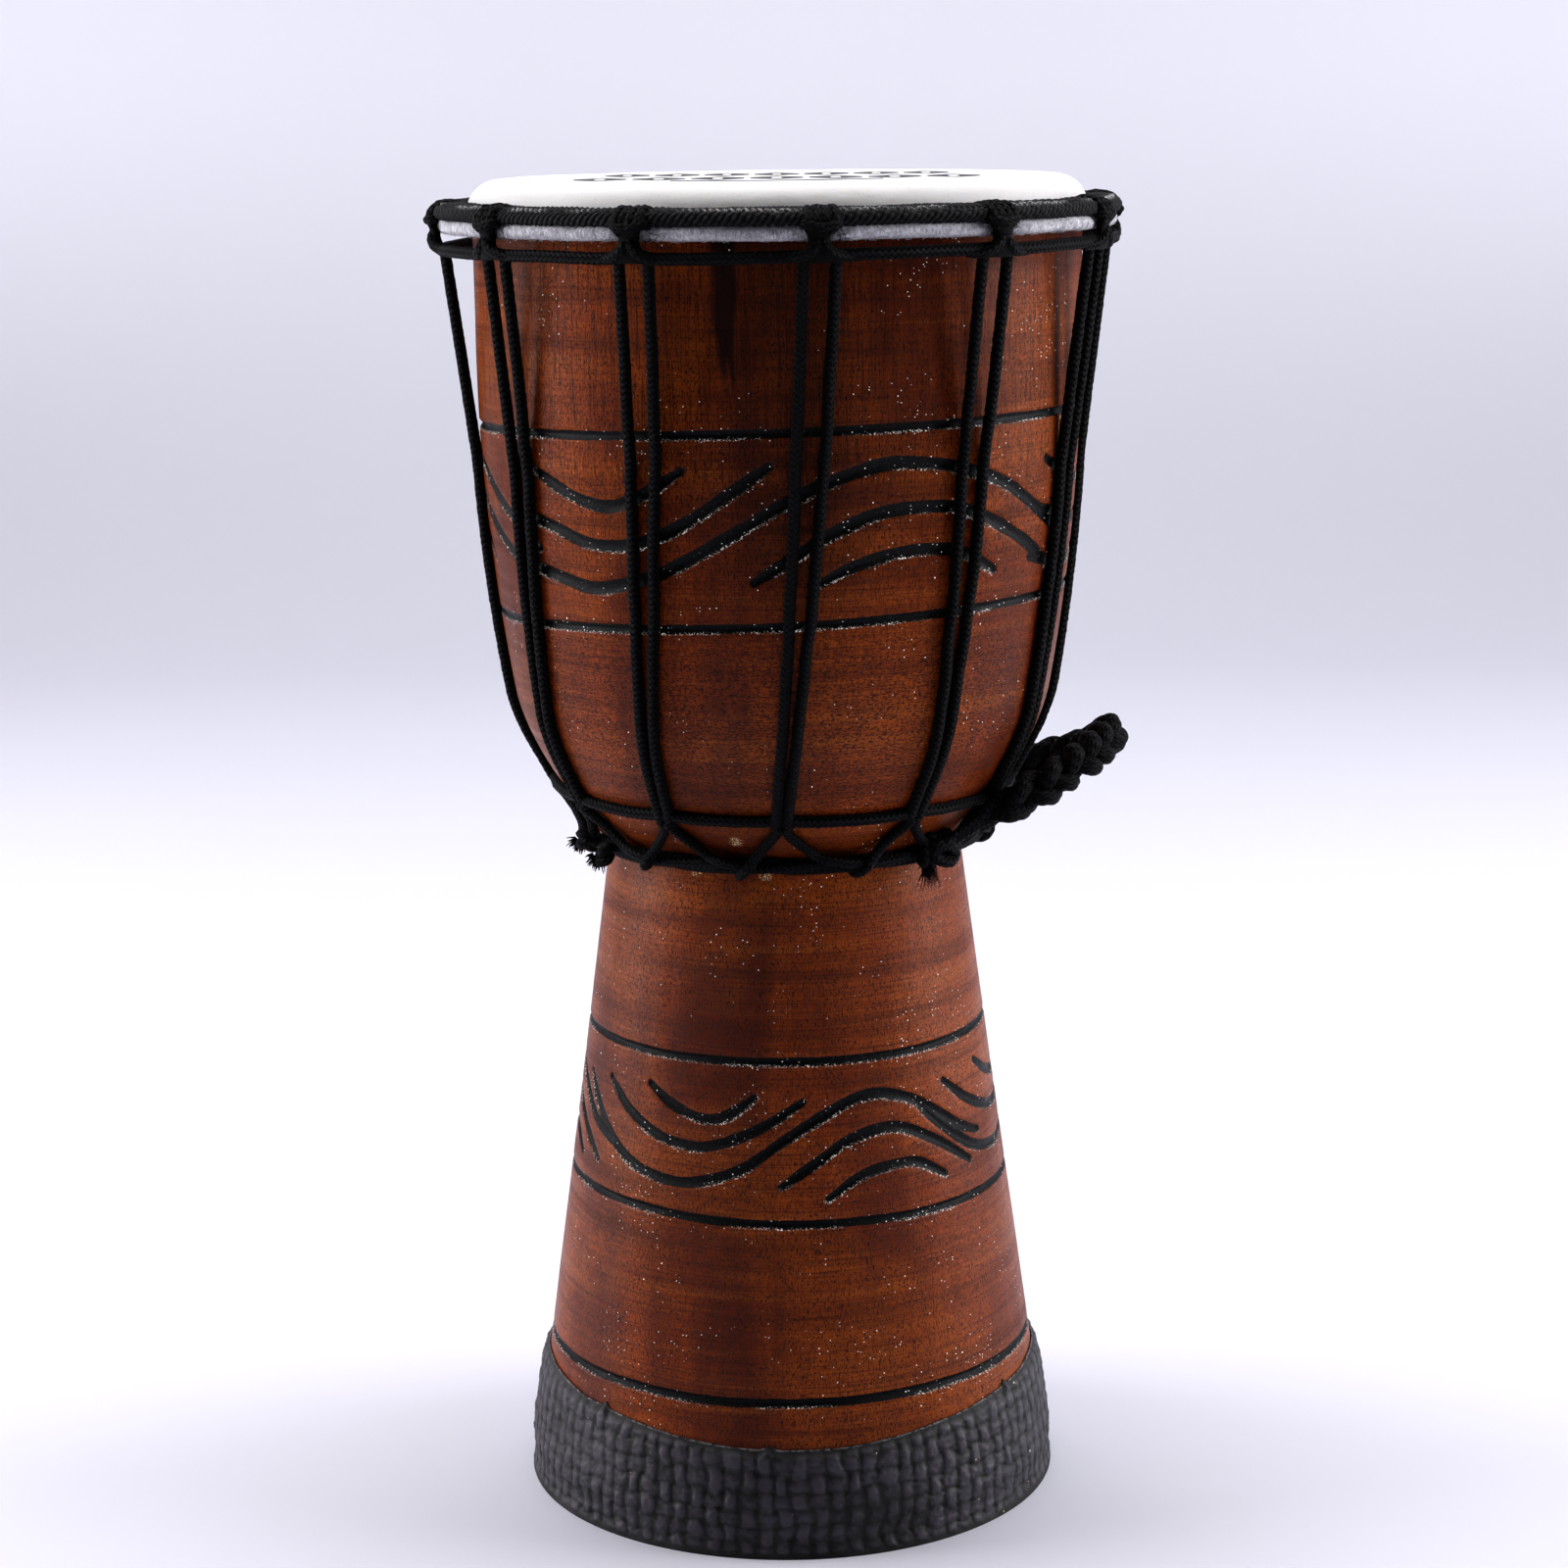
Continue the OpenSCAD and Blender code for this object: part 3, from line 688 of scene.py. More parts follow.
def ornament(m, x, y):
    """1 where the head is printed: two rows of lozenges and a curved line in front of them."""
    bow = m.sub(y, m.add(ORNAMENT_Y - 0.038, m.mul(m.mul(x, x), 9.0)))
    arc = m.mul(m.op("LESS_THAN", m.op("ABSOLUTE", bow), 0.0058),
                m.op("LESS_THAN", m.op("ABSOLUTE", x), 0.030))
    rows = m.most(lozenges(m, x, y, ORNAMENT_Y + 0.040, 0.0150, 0.0525),
                  lozenges(m, x, y, ORNAMENT_Y - 0.006, 0.0170, 0.0595))
    return m.most(rows, arc)


def skin_material():
    """Bleached goatskin, printed with two rows of plain lozenges and an arc."""
    m = Mat("goatskin")
    p = m.pos
    x, y = m.axis(p, 0), m.axis(p, 1)
    cloud = m.noise(p, 38, 5, 0.6)
    pores = m.noise(p, 900, 3, 0.65)
    vein = m.noise(m.scale(p, (60, 25, 60)), 1.0, 6, 0.7, 1.2)
    col = m.mix(m.step(cloud, 0.35, 0.7), rgb(0.74, 0.725, 0.70), rgb(0.79, 0.785, 0.775))
    col = m.mix(m.mul(m.step(vein, 0.55, 0.72), 0.16), col, rgb(0.74, 0.69, 0.62))
    shoulder = m.step(m.axis(p, 2), 0.4006, 0.3965)
    col = m.mix(m.mul(shoulder, 0.85), col, rgb(0.655, 0.645, 0.64))
    col = m.mix(m.mul(m.mul(shoulder, m.step(pores, 0.52, 0.70)), 0.30), col,
                rgb(0.55, 0.50, 0.44))
    mark = ornament(m, x, y)
    mark = m.mul(mark, m.op("GREATER_THAN", m.axis(p, 2), 0.3995))
    mark = m.mul(mark, m.step(m.noise(p, 1600, 3, 0.7), 0.20, 0.26))
    col = m.mix(mark, col, rgb(0.004, 0.004, 0.005))
    m.set("Base Color", col)
    m.set("Roughness", 0.55)
    m.set("Subsurface Weight", m.lerp(mark, 0.25, 0.0))
    m.set("Subsurface Radius", (0.004, 0.003, 0.002))
    m.set("Subsurface Scale", 1.0)
    n1 = m.bump(cloud, 0.0005, 0.35)
    m.set("Normal", m.bump(pores, 0.00018, 0.5, n1))
    return m.m


def fold_material():
    """The folded, unshaved edge of the skin: grey-white with short lying hair."""
    m = Mat("hairy_fold")
    p = m.pos
    fur = m.noise(m.scale(p, (900, 900, 420)), 1.0, 4, 0.75, 1.6)
    soft = m.noise(p, 70, 4, 0.6)
    painted_shadow = m.attr("shade")
    col = m.mix(m.step(fur, 0.36, 0.66), rgb(0.29, 0.28, 0.31), rgb(0.74, 0.73, 0.77))
    col = m.mix(m.mul(m.step(soft, 0.5, 0.72), 0.45), col, rgb(0.24, 0.235, 0.26))
    # painted shade beside the hitches
    col = m.mix(m.mul(painted_shadow, m.step(soft, 0.3, 0.6)), col, rgb(0.03, 0.03, 0.032))
    m.set("Base Color", col)
    m.set("Roughness", 0.8)
    m.set("Normal", m.bump(fur, 0.0005, 0.7))
    return m.m


def rubber_material():
    """Old tyre rubber: dark grey, with painted shade in the hollows of the weave so the raised strips
    look lighter, and a thin pale worn edge.
    """
    m = Mat("foot_rubber")
    p = m.pos
    grain = m.noise(p, 1500, 4, 0.7)
    crease = m.noise(p, 420, 4, 0.65, 0.8)
    patch = m.noise(p, 60, 4, 0.6)
    high = m.attr("high")
    # painted shade: the hollows of the weave nearly black, the raised strips lighter
    col = m.mix(m.step(high, 0.30, 0.85), rgb(0.0014, 0.0014, 0.0018), rgb(0.039, 0.0335, 0.044))
    col = m.mix(m.mul(m.step(patch, 0.45, 0.7), 0.4), col, rgb(0.046, 0.040, 0.050))
    col = m.mix(m.mul(m.step(crease, 0.60, 0.72), 0.30), col, rgb(0.068, 0.062, 0.070))
    col = m.mix(m.mul(m.attr("lip"), m.step(crease, 0.42, 0.6)), col,
                rgb(0.17, 0.155, 0.155))
    cells = m.cells(p, 230)
    spot = m.mul(m.op("LESS_THAN", cells.outputs["Distance"], 0.07),
                m.op("GREATER_THAN", m.axis(cells.outputs["Color"], 0), 0.70))
    spot = m.mul(spot, m.step(m.noise(p, 14, 2, 0.5), 0.46, 0.56))
    warm = m.mix(m.axis(cells.outputs["Color"], 1), rgb(0.72, 0.45, 0.2), rgb(0.8, 0.76, 0.7))
    m.set("Base Color", m.mix(spot, col, warm))
    m.set("Roughness", m.lerp(high, 0.7, 0.46))
    m.set("Specular IOR Level", 0.45)
    both = m.add(m.mul(grain, 0.5), m.mul(crease, 0.6))
    m.set("Normal", m.bump(both, 0.0005, 0.6))
    return m.m


def steel_material():
    """Plain steel hoop with a little rust."""
    m = Mat("ring_steel", Metallic=1.0, Roughness=0.34)
    p = m.pos
    brush = m.noise(m.scale(p, (300, 300, 1500)), 1.0, 4, 0.6)
    rust = m.noise(p, 120, 5, 0.65)
    col = m.mix(brush, rgb(0.42, 0.42, 0.43), rgb(0.6, 0.6, 0.6))
    m.set("Base Color", m.mix(m.step(rust, 0.6, 0.75), col, rgb(0.2, 0.09, 0.04)))
    m.set("Normal", m.bump(brush, 0.0002, 0.3))
    return m.m


wood, cord, skin, fold = wood_material(), cord_material(), skin_material(), fold_material()
plait_mat = cord_material("plait_cord", 0.0032, 12, 10)
rubber, steel = rubber_material(), steel_material()


# ------------------------------------------------------------------ wood
def wood_shell():
    """The shell, with its stains, painted shade on the front of the bowl, and the dried glue at the
    waist.
    """
    o = shell_mesh(wood)
    co = np.zeros(len(o.data.vertices) * 3)
    o.data.vertices.foreach_get("co", co)
    x, y, z = (co.reshape(-1, 3) / MM).T
    az = np.degrees(np.arctan2(x, -y))

    def tip(a0, top_wide, point_z, end_z):
        """A run of dark stain that narrows to a point."""
        wide = top_wide * np.clip((z - point_z) / (end_z - point_z), 0.02, 1) ** 0.7
        wander = 0.35 * value_noise(z / 7 + 20, a0, 26)
        return smooth01(1.25 - np.abs(az - a0 - wander) / wide) * (z > point_z)

    stain_and_shade = np.maximum(tip(-9.8, 2.9, 348, 366), tip(-8.2, 1.5, 343, 372))
    # painted shade: a broad darkening of the front of the upper bowl, where little light falls
    stain_and_shade = np.maximum(stain_and_shade, 0.62 * np.exp(-((az - 3) / 18) ** 2) * smooth01((z - 268) / 40))
    stain_and_shade = np.maximum(stain_and_shade, 0.75 * np.exp(-((az - 62) / 1.6) ** 2 - ((z - 358) / 20) ** 2))
    glue = np.zeros(len(z))
    for a, h in ((-29, 201.0), (-6, 201.0), (25, 201.2), (-13, 212.6), (22, 211.6), (-71, 211)):
        glue = np.maximum(glue, np.exp(-((az - a) / 2.6) ** 2 - ((z - h) / 1.6) ** 2))
    add_values(o.data, {"stain_and_shade": np.clip(stain_and_shade, 0, 1), "glue": np.clip(glue, 0, 1)})
    fit(o, "shell")


wood_shell()


# ------------------------------------------------------------------ skin
def lathe(name, profile, cols, material, shape, close=False):
    """A turned surface; shape(az, r, z) moves its points and gives the values they keep."""
    pr = np.asarray(profile, float)
    A = np.repeat(circle(cols)[None], len(pr), 0)
    R, Z = np.repeat(pr[:, :1], cols, 1), np.repeat(pr[:, 1:2], cols, 1)
    R, Z, values = shape(A, R, Z)
    faces = grid_faces(len(pr), cols, True, close)[:, ::-1]
    return build(name, around(A, R, Z).reshape(-1, 3), faces, material, values)


def head():
    """The playing surface, its rounded edge, and the skirt down to the flesh ring."""
    c_r, out_r = BOWL_R - EDGE_R, EDGE_R + SKIN_T
    flat = [(r, EDGE_Z + out_r) for r in np.concatenate([[0.01], np.linspace(3, c_r - 1, 40)])]
    arc = [(c_r + out_r * math.sin(a), EDGE_Z + out_r * math.cos(a))
           for a in np.linspace(0, math.pi / 2, 18)]
    skirt = [(c_r + out_r + 0.3, z) for z in (390.8, 389.2, 387.2, 386.2)]

    def shape(A, R, Z):
        k = smooth01(R / 30)
        Z = Z + 0.03 * k * value_noise(R * np.sin(A) / 14 + 30, R * np.cos(A) / 14 + 30, 21)
        edge = smooth01((R - 78) / 8)
        R = R + edge * (0.25 * value_noise(A * 9 + 40, 0, 22)
                        + 0.12 * value_noise(A * 40 + 300, Z, 23))
        Z = Z - edge * 0.125 * (1 + value_noise(A * 11 + 50, 0, 24))
        return R, Z, {}

    o = lathe("head_skin", flat + arc[1:] + skirt, 300, skin, shape)
    fit(o, "drum_skin")


# Directions of the hitches and of the points where each pair of strands meets the draw cord
HITCH_AZ = [6.5 + 30 * k for k in range(12)]
HITCH_NUDGE = {0: 0.1, 1: 0.9, 2: 0.3, 9: -0.2, 10: 0.3, 11: 0.1}
APEX_NUDGE = {0: -1.2, 1: 2.2, 2: 0.8, 9: 0.0, 10: 0.1, 11: -0.2}
hitch_az = [a + HITCH_NUDGE.get(k, 1.4 * math.sin(k * 2.1)) for k, a in enumerate(HITCH_AZ)]
apex_az = [a - 6 + APEX_NUDGE.get(k, 1.6 * math.sin(k * 1.7 + 1)) for k, a in enumerate(HITCH_AZ)]


def near_hitch(A):
    """1 beside a hitch, 0 between hitches."""
    out = np.zeros_like(A)
    for h in hitch_az:
        d = (A - math.radians(h) + math.pi) % TAU - math.pi
        out = np.maximum(out, np.exp(-(d / 0.050) ** 2))
    return out


# The roll of skin round the flesh ring: radius and height of its middle, and its own radius
FOLD_R, FOLD_Z, ROLL_R = 98.1, 388.25, 2.15


def skin_fold():
    """The fold of hairy skin round the flesh ring."""
    prof = [(93.0, 386.6), (93.0, 389.8)]
    prof += [(FOLD_R + ROLL_R * math.cos(a), FOLD_Z + ROLL_R * math.sin(a))
             for a in np.radians(np.linspace(90, -90, 15))]

    def shape(A, R, Z):
        out = smooth01((R - 97) / 2.5)
        n = value_noise(A * 17 + 90, Z / 1.7 + 300, 31) + 0.6 * value_noise(A * 60 + 400, Z / 1.1, 32)
        h = near_hitch(A)
        R = R + out * (0.28 * n - 0.9 * h)
        Z = Z + out * 0.22 * value_noise(A * 12 + 50, 0, 33)
        return R, Z, {"shade": h * 0.9}

    o = lathe("skin_fold", prof, 1100, fold, shape, close=True)
    fit(o)


def fold_hair():
    """Short curly pale hair lying on the fold, and near-black tufts beside the hitches as painted
    shadow.
    """
    rng = np.random.default_rng(640)
    pale, painted_shadow = Pile(), Pile()
    hairs, joints = 2400, 6
    t = np.linspace(0, 1, joints)
    for i in range(hairs):
        # painted shadow: every fifth hair is a near-black tuft beside a hitch
        shadow_tuft = i % 5 == 0
        if shadow_tuft:
            az = hitch_az[i // 5 % 12] + 2.4 + 2.6 * rng.beta(1.2, 2.6)
        else:
            az = rng.uniform(-180, 180)
        lift = math.radians(rng.uniform(-75, 75))
        length = rng.uniform(1.2, 3.4) * (0.8 if shadow_tuft else 1.0)
        heading = rng.uniform(0, TAU)
        curl = rng.uniform(-2.6, 2.6)
        q = heading + curl * t
        along = np.cumsum(np.cos(q)) * length / joints
        up = np.cumsum(np.sin(q)) * length / joints
        a = np.clip(lift + up / 2.3, -1.3, 0.95)
        stand = 2.3 + 0.45 * rng.uniform(0, 1) * t
        az = az + np.degrees(along / CROWN_R)
        pts = at(az, FOLD_R - 0.3 + stand * np.cos(a), FOLD_Z + stand * np.sin(a))
        hair(painted_shadow if shadow_tuft else pale, pts, 0.085 * np.linspace(1.2, 0.5, joints))
    for name, pile, tone in (("fold_hair", pale, rgb(0.60, 0.585, 0.60)),
                             ("fold_shadow_tufts", painted_shadow, rgb(0.030, 0.028, 0.030))):
        m = Mat(name, Roughness=0.6)
        m.set("Base Color", m.mix(m.noise(m.pos, 700, 2, 0.6), tone,
                                  rgb(tone[0] * 0.55, tone[1] * 0.55, tone[2] * 0.6)))
        o = pile.make(name, m.m)
        fit(o)


head()
skin_fold()
fold_hair()


# ------------------------------------------------------------------ crown ring cover
def cover_material():
    """Black knitted cord, with painted shade between its ribs and painted pale glints on its ribs
    along the spine.
    """
    m = Mat("braided_cover")
    filament = m.noise(m.pos, 2100, 3, 0.7, 0.6)
    rib = m.attr("rib")
    # painted shade and highlight: the hollows between the ribs darker, the crests lighter
    col = m.mix(m.step(rib, 0.25, 1.0), rgb(0.0002, 0.0002, 0.0003), rgb(0.0190, 0.0180, 0.0210))
    glint = m.mul(m.attr("spine"), m.step(filament, 0.44, 0.50))
    m.set("Base Color", m.mix(m.mul(glint, 0.9), col, rgb(0.62, 0.60, 0.60)))
    m.set("Roughness", 0.62)
    m.set("Specular IOR Level", 0.16)
    m.set("Normal", m.bump(m.add(m.mul(rib, 1.2), filament), 0.00035, 0.8))
    return m.m


def crown_cover():
    """Braided cover of the crown ring, with V-shaped ribs running off a spine along its edge."""
    sec = catmull([(96.6, 390.2), (99.2, 390.25), (100.4, 390.7), (101.0, 391.5), (101.1, 392.3),
                   (100.7, 393.2), (99.6, 394.0), (97.8, 394.55), (95.8, 394.8), (93.8, 394.8),
                   (92.5, 394.6), (92.1, 393.7), (92.4, 392.0), (93.4, 390.5), (96.6, 390.2)], 5)
    sec = resample(sec, 0.5)[:-1]
    seg = np.linalg.norm(np.diff(np.vstack([sec, sec[:1]]), axis=0), axis=1)
    run = np.concatenate([[0], np.cumsum(seg)[:-1]])
    spine = run[np.argmin(np.hypot(sec[:, 0] - 99.6, sec[:, 1] - 394.0))]
    out = np.roll(sec, -1, 0) - np.roll(sec, 1, 0)
    out = np.stack([out[:, 1], -out[:, 0]], -1)
    out /= np.linalg.norm(out, axis=1)[:, None]
    cols, rib_pitch = 1720, 1.9
    A, W = np.meshgrid(circle(cols), run - spine)
    s = A * CROWN_R
    ribs = round(TAU * CROWN_R / rib_pitch)
    phase = A / TAU * ribs + np.abs(W) / 2.4
    rib = np.abs(np.cos(np.pi * phase)) ** 0.9
    # between the slanting ribs small stitches run across, so the face reads as knitted
    stitch = np.abs(np.cos(np.pi * (W / 1.5 + 0.5 * np.floor(phase + 0.5)))) ** 0.9
    rib = rib * (0.45 + 0.55 * stitch)
    groove = np.exp(-(W / 0.35) ** 2)
    lump = 0.22 * value_noise(s / 9 + 60, W / 3 + 20, 41) + 0.1 * value_noise(s / 2.5, W / 2 + 9, 42)
    tooth = np.exp(-((W - 0.4) / 1.1) ** 2) * (0.5 + 0.5 * value_noise(np.floor(phase) * 3.7, 0, 44))
    h = 0.62 * rib * (1 - 0.6 * groove) - 0.25 * groove + lump - 0.2 + 0.6 * tooth * rib
    verts = around(A, sec[:, :1] + h * out[:, :1], sec[:, 1:] + h * out[:, 1:]).reshape(-1, 3)
    # painted glints: pale specks on the rib crests in places along the spine
    spine_glint = np.exp(-((W - 0.9) / 0.75) ** 2) * smooth01((rib - 0.5) / 0.2)
    patchy = smooth01((value_noise(s / 11 + 10, 3, 43) + 0.3) / 0.6)
    o = build("crown_cover", verts, grid_faces(len(sec), cols, True, True), cover_material(),
              {"rib": rib, "spine": spine_glint * patchy})
    fit(o, "crown_wrap")


crown_cover()


def local(az0, pts):
    """Points given as (sideways, radius, height) about a direction, in mm."""
    p = np.asarray(pts, float)
    return at(az0 + np.degrees(p[:, 0] / p[:, 1]), p[:, 1], p[:, 2])


# Path of a hitch over the crown: radius, height, half width, thickness, depth of its middle crease
HITCH_PATH = np.array([
    (92.8, 392.6, 3.6, 0.9, 0.3), (93.6, 393.6, 4.1, 1.0, 0.7), (95.4, 394.0, 4.5, 1.1, 1.0),
    (97.6, 393.8, 4.8, 1.2, 1.1), (99.6, 393.1, 5.0, 1.3, 1.0), (101.0, 392.0, 5.1, 1.4, 0.8),
    (101.8, 390.7, 4.9, 1.45, 0.4), (101.9, 389.3, 4.2, 1.5, 0.1), (101.4, 388.1, 3.4, 1.5, 0.0),
    (101.1, 387.0, 3.0, 1.5, 0.1), (101.1, 385.4, 3.2, 1.5, 0.2), (101.1, 383.8, 4.4, 1.6, 0.5),
    (100.7, 382.4, 5.5, 1.6, 0.8), (99.9, 381.0, 5.8, 1.5, 1.0)])


def strap(pile, a, seed):
    """The spread turns of a hitch: one flattened, twice-ridged band with a herringbone face."""
    rng = np.random.default_rng(seed)
    q = resample(catmull(HITCH_PATH, 8), 0.36)
    r, z, wide, thick, crease = q.T
    n, sides = len(q), 44
    run = np.concatenate([[0], np.cumsum(np.hypot(np.diff(r), np.diff(z)))])
    tr, tz = np.gradient(r), np.gradient(z)
    size = np.hypot(tr, tz)
    nr, nz = -tz / size, tr / size
    k = np.arange(sides) / sides * TAU
    S, CX = np.meshgrid(run, np.sign(np.cos(k)) * np.abs(np.cos(k)) ** 0.95, indexing="ij")
    SN = np.repeat(np.sin(k)[None], n, 0)
    drift = (0.5 * rng.uniform(-1, 1) * np.sin(run / 9 + rng.uniform(0, 6)))[:, None]
    X = wide[:, None] * CX * (1 + 0.06 * value_noise(S / 2.5 + 9, CX * 2 + 30, seed))
    out = np.clip(SN, 0, 1)
    dip = 1.15 * crease[:, None] * np.exp(-(X / 1.0) ** 2)
    centre = np.abs(np.abs(X) - wide[:, None] * 0.5)
    rib = np.abs(np.cos(np.pi * (S / 1.45 + centre / 1.3))) ** 0.8
    lump = 0.42 * value_noise(S / 2.6 + 50, X / 2.2 + 50, seed + 1)
    N = -thick[:, None] * SN - out * (0.34 * rib + lump - dip)
    R = r[:, None] + N * nr[:, None]
    Z = z[:, None] + N * nz[:, None]
    v = at(a + np.degrees((X + drift) / R), R, Z).reshape(-1, 3)
    pile.add(v, grid_faces(n, sides, True, False)[:, ::-1], rib=(rib * out).ravel())


def crown_hitches():
    """Each hitch: a flat strap, a bar across it, four turns over the top and two legs."""
    pile = Pile()
    for k, a in enumerate(hitch_az):
        rng = np.random.default_rng(100 + k)
        j = lambda s=0.3: rng.uniform(-s, s)
        strap(pile, a, 900 + k)
        bar = [(-4.7, 100.4, 390.5), (-3.9, 102.2, 390.5), (-1.9, 102.9, 390.0), (0, 103.0, 389.8),
               (2.0, 102.9, 390.1), (4.1, 102.2, 390.6), (5.0, 100.4, 390.4)]
        bar = [(u + j(), r + j(0.1), z + j(0.3)) for u, r, z in bar]
        line = resample(catmull(local(a, bar), 8), 0.4)
        rope(pile, line, 1.3, sides=20, fuzz=0.2, seed=k + 50)
        # the separate turns of the cord over the top, each a little out of line
        for c, u0 in enumerate((-3.5, -1.2, 1.2, 3.5)):
            u0 = u0 + j(0.35)
            turn = [(u0 * 0.80, 92.9, 393.2), (u0 * 0.92, 94.6, 394.2), (u0, 97.4, 394.45),
                    (u0 * 1.04, 99.6, 394.0), (u0 * 1.04, 101.3, 392.8), (u0, 102.2, 391.3),
                    (u0 * 0.85, 102.3, 389.9), (u0 * 0.66, 101.8, 388.4)]
            turn = [(u + j(0.25), r + j(0.1), z + j(0.15)) for u, r, z in turn]
            line = resample(catmull(local(a, turn), 8), 0.4)
            rope(pile, line, 1.22 + j(0.12), sides=18, fuzz=0.30, seed=k * 4 + c + 350)
        for side in (-1, 1):
            leg = [(side * 0.4, 101.6, 387.0), (side * 1.0, 101.9, 385.2), (side * 2.6, 101.9, 383.4),
                   (side * 5.0, 101.0, 382.2), (side * 8.0, 99.9, 381.6), (side * 11.0, 99.4, 381.5)]
            leg = [(u + j(0.2), r, z + j(0.15)) for u, r, z in leg]
            line = resample(catmull(local(a, leg), 8), 0.4)
            taper = np.interp(np.linspace(0, 1, len(line)), [0, 0.15, 0.6, 1], [0.9, 1.5, 1.6, 1.0])
            rope(pile, line, taper, sides=18, fuzz=0.12, seed=k * 2 + side + 130)
    o = pile.make("crown_hitches_cord", cord)
    fit(o, "crown_hitches")


# Radius of the level cords, and height of the run under the fold
CORD_R, RUN_Z = 1.72, 382.0


def crown_run():
    """The horizontal run of cord from hitch to hitch."""
    az = np.linspace(-180, 180, 1401)
    h = near_hitch(np.radians(az))
    r = CROWN_R + 0.3 + 0.6 * h + 0.25 * value_noise(az / 9 + 40, 0, 51)
    z = RUN_Z + 0.5 * h + 0.35 * value_noise(az / 14 + 40, 0, 52)
    z = z + 0.8 * np.sin(np.radians(az))
    pile = Pile()
    rope(pile, at(az, r, z), CORD_R, sides=18, closed=True, seed=5)
    o = pile.make("crown_run_cord", cord)
    fit(o, "crown_cord")


# Strands: radius at the top, how fast they lean in, and where they end
STRAND_TOP_R, STRAND_SLOPE = 98.6, 0.1267
STRAND_END_Z = 218.6


def strand_r(z):
    """Radius of the middle of a strand: taut above, lying on the wood below."""
    lie = wood_r(z) + 1.55
    taut = np.where(z > 300, STRAND_TOP_R - STRAND_SLOPE * (RUN_Z - z), 0)
    return np.maximum(lie, taut)


def lacing():
    """Two strands from every hitch, which close up towards the draw cord."""
    pile = Pile()
    for k in range(12):
        rng = np.random.default_rng(300 + k)
        for side in (-1, 1):
            t = np.linspace(0, 1, 19)
            z = lerp(RUN_Z, STRAND_END_Z, t)
            half = lerp(4.4, 1.5, smooth01(t * 0.75) / smooth01(0.75))
            r = strand_r(z) + 1.2 * np.exp(-((z - 220.6) / 2.8) ** 2)
            az = hitch_az[k] + (apex_az[k] - hitch_az[k]) * (0.35 * t + 0.65 * t * t)
            az = az + np.degrees(side * half / r) + 0.10 * rng.normal(size=19) * np.sin(np.pi * t)
            line = resample(catmull(at(az, r, z), 10), 0.7)
            rope(pile, line, 1.68, sides=16, fuzz=0.11, seed=k * 2 + side + 9)
    o = pile.make("lacing_cord", cord)
    fit(o, "lacing_strands")


def draw_cord():
    """The draw cord, woven over and under the pairs of strands."""
    az = np.linspace(-180, 180, 1101)
    sag = np.zeros_like(az)
    for a in apex_az:
        d = (az - a + 180) % 360 - 180
        sag += np.exp(-(d / 5.5) ** 2)
    z = 221.0 - 0.7 * (1 - sag) + 0.25 * value_noise(az / 12 + 40, 0, 61)
    z = z - 0.5 * np.sin(np.radians(az + 10))
    pile = Pile()
    rope(pile, at(az, wood_r(z) + 1.5, z), CORD_R, sides=18, closed=True, seed=6)
    o = pile.make("draw_cord", cord)
    fit(o, "weave_cord")


RING_Z, RING_R = 205.0, 59.7


def waist_ring_cord():
    """Cords laid along the waist ring."""
    az = np.linspace(-180, 180, 901)
    z = RING_Z + 0.25 * value_noise(az / 15 + 40, 0, 71)
    pile = Pile()
    rope(pile, at(az, RING_R + 0 * az, z), 1.9, sides=18, closed=True, seed=7)
    orbit = 1.15
    for k in range(3):
        q = np.radians(az * 4 + 120 * k)
        line = at(az, RING_R + orbit * np.cos(q), z + orbit * np.sin(q))
        rope(pile, line, 1.38, sides=18, closed=True, seed=70 + k)
    o = pile.make("waist_ring_cord", cord)
    fit(o, "waist_wrap")


def waist_loops():
    """Two ends of cord from each pair of strands down to the waist ring."""
    pile = Pile()
    for k in range(12):
        rng = np.random.default_rng(500 + k)
        a = apex_az[k]
        ring = wood_r(np.array([218.8, 216.0, 212.0, 209.0]))
        s1, s2 = 9.3 + rng.uniform(-1, 1), 10.4 + rng.uniform(-1, 1)
        left = [(0.5, ring[0] + 3.2, 218.9), (1.5, ring[1] + 2.3, 216.2),
                (0.50 * s1, ring[2] + 1.9, 211.6), (0.80 * s1, RING_R + 3.2, RING_Z + 2.6),
                (0.96 * s1, RING_R + 3.7, RING_Z + 0.4), (1.10 * s1, RING_R + 3.3, RING_Z - 1.2),
                (1.22 * s1, RING_R + 1.7, RING_Z - 2.3), (1.3 * s1, RING_R - 0.6, RING_Z - 2.3)]
        right = [(0.5, ring[0] + 3.2, 218.9), (1.8, ring[1] + 2.3, 216.0),
                 (0.50 * s2, ring[2] + 1.9, 211.8), (0.86 * s2, RING_R + 2.6, RING_Z + 3.3),
                 (1.25 * s2, RING_R + 3.1, RING_Z + 1.8), (1.7 * s2, RING_R + 3.0, RING_Z + 0.8),
                 (2.1 * s2, RING_R + 1.9, RING_Z + 0.4)]
        for side, pts in ((-1, left), (1, right)):
            p = np.array([[a + side * q, r, z] for q, r, z in pts])
            line = resample(catmull(at(p[:, 0], p[:, 1], p[:, 2]), 8), 0.5)
            rope(pile, line, 1.5, sides=16, seed=k * 2 + side + 80)
    o = pile.make("waist_loop_cord", cord)
    fit(o, "waist_loops")


crown_hitches()
crown_run()
lacing()
draw_cord()
waist_ring_cord()
waist_loops()


# ------------------------------------------------------------------ carry handle
# Upward slope, farthest reach, half the distance between the knots, and where the plait starts
LIFT, REACH, HALF, START_V = math.radians(26.0), 61.0, 43.0, 11.0
KNOT_R = 61.8
AXIS_X = math.sqrt(KNOT_R ** 2 - HALF ** 2)


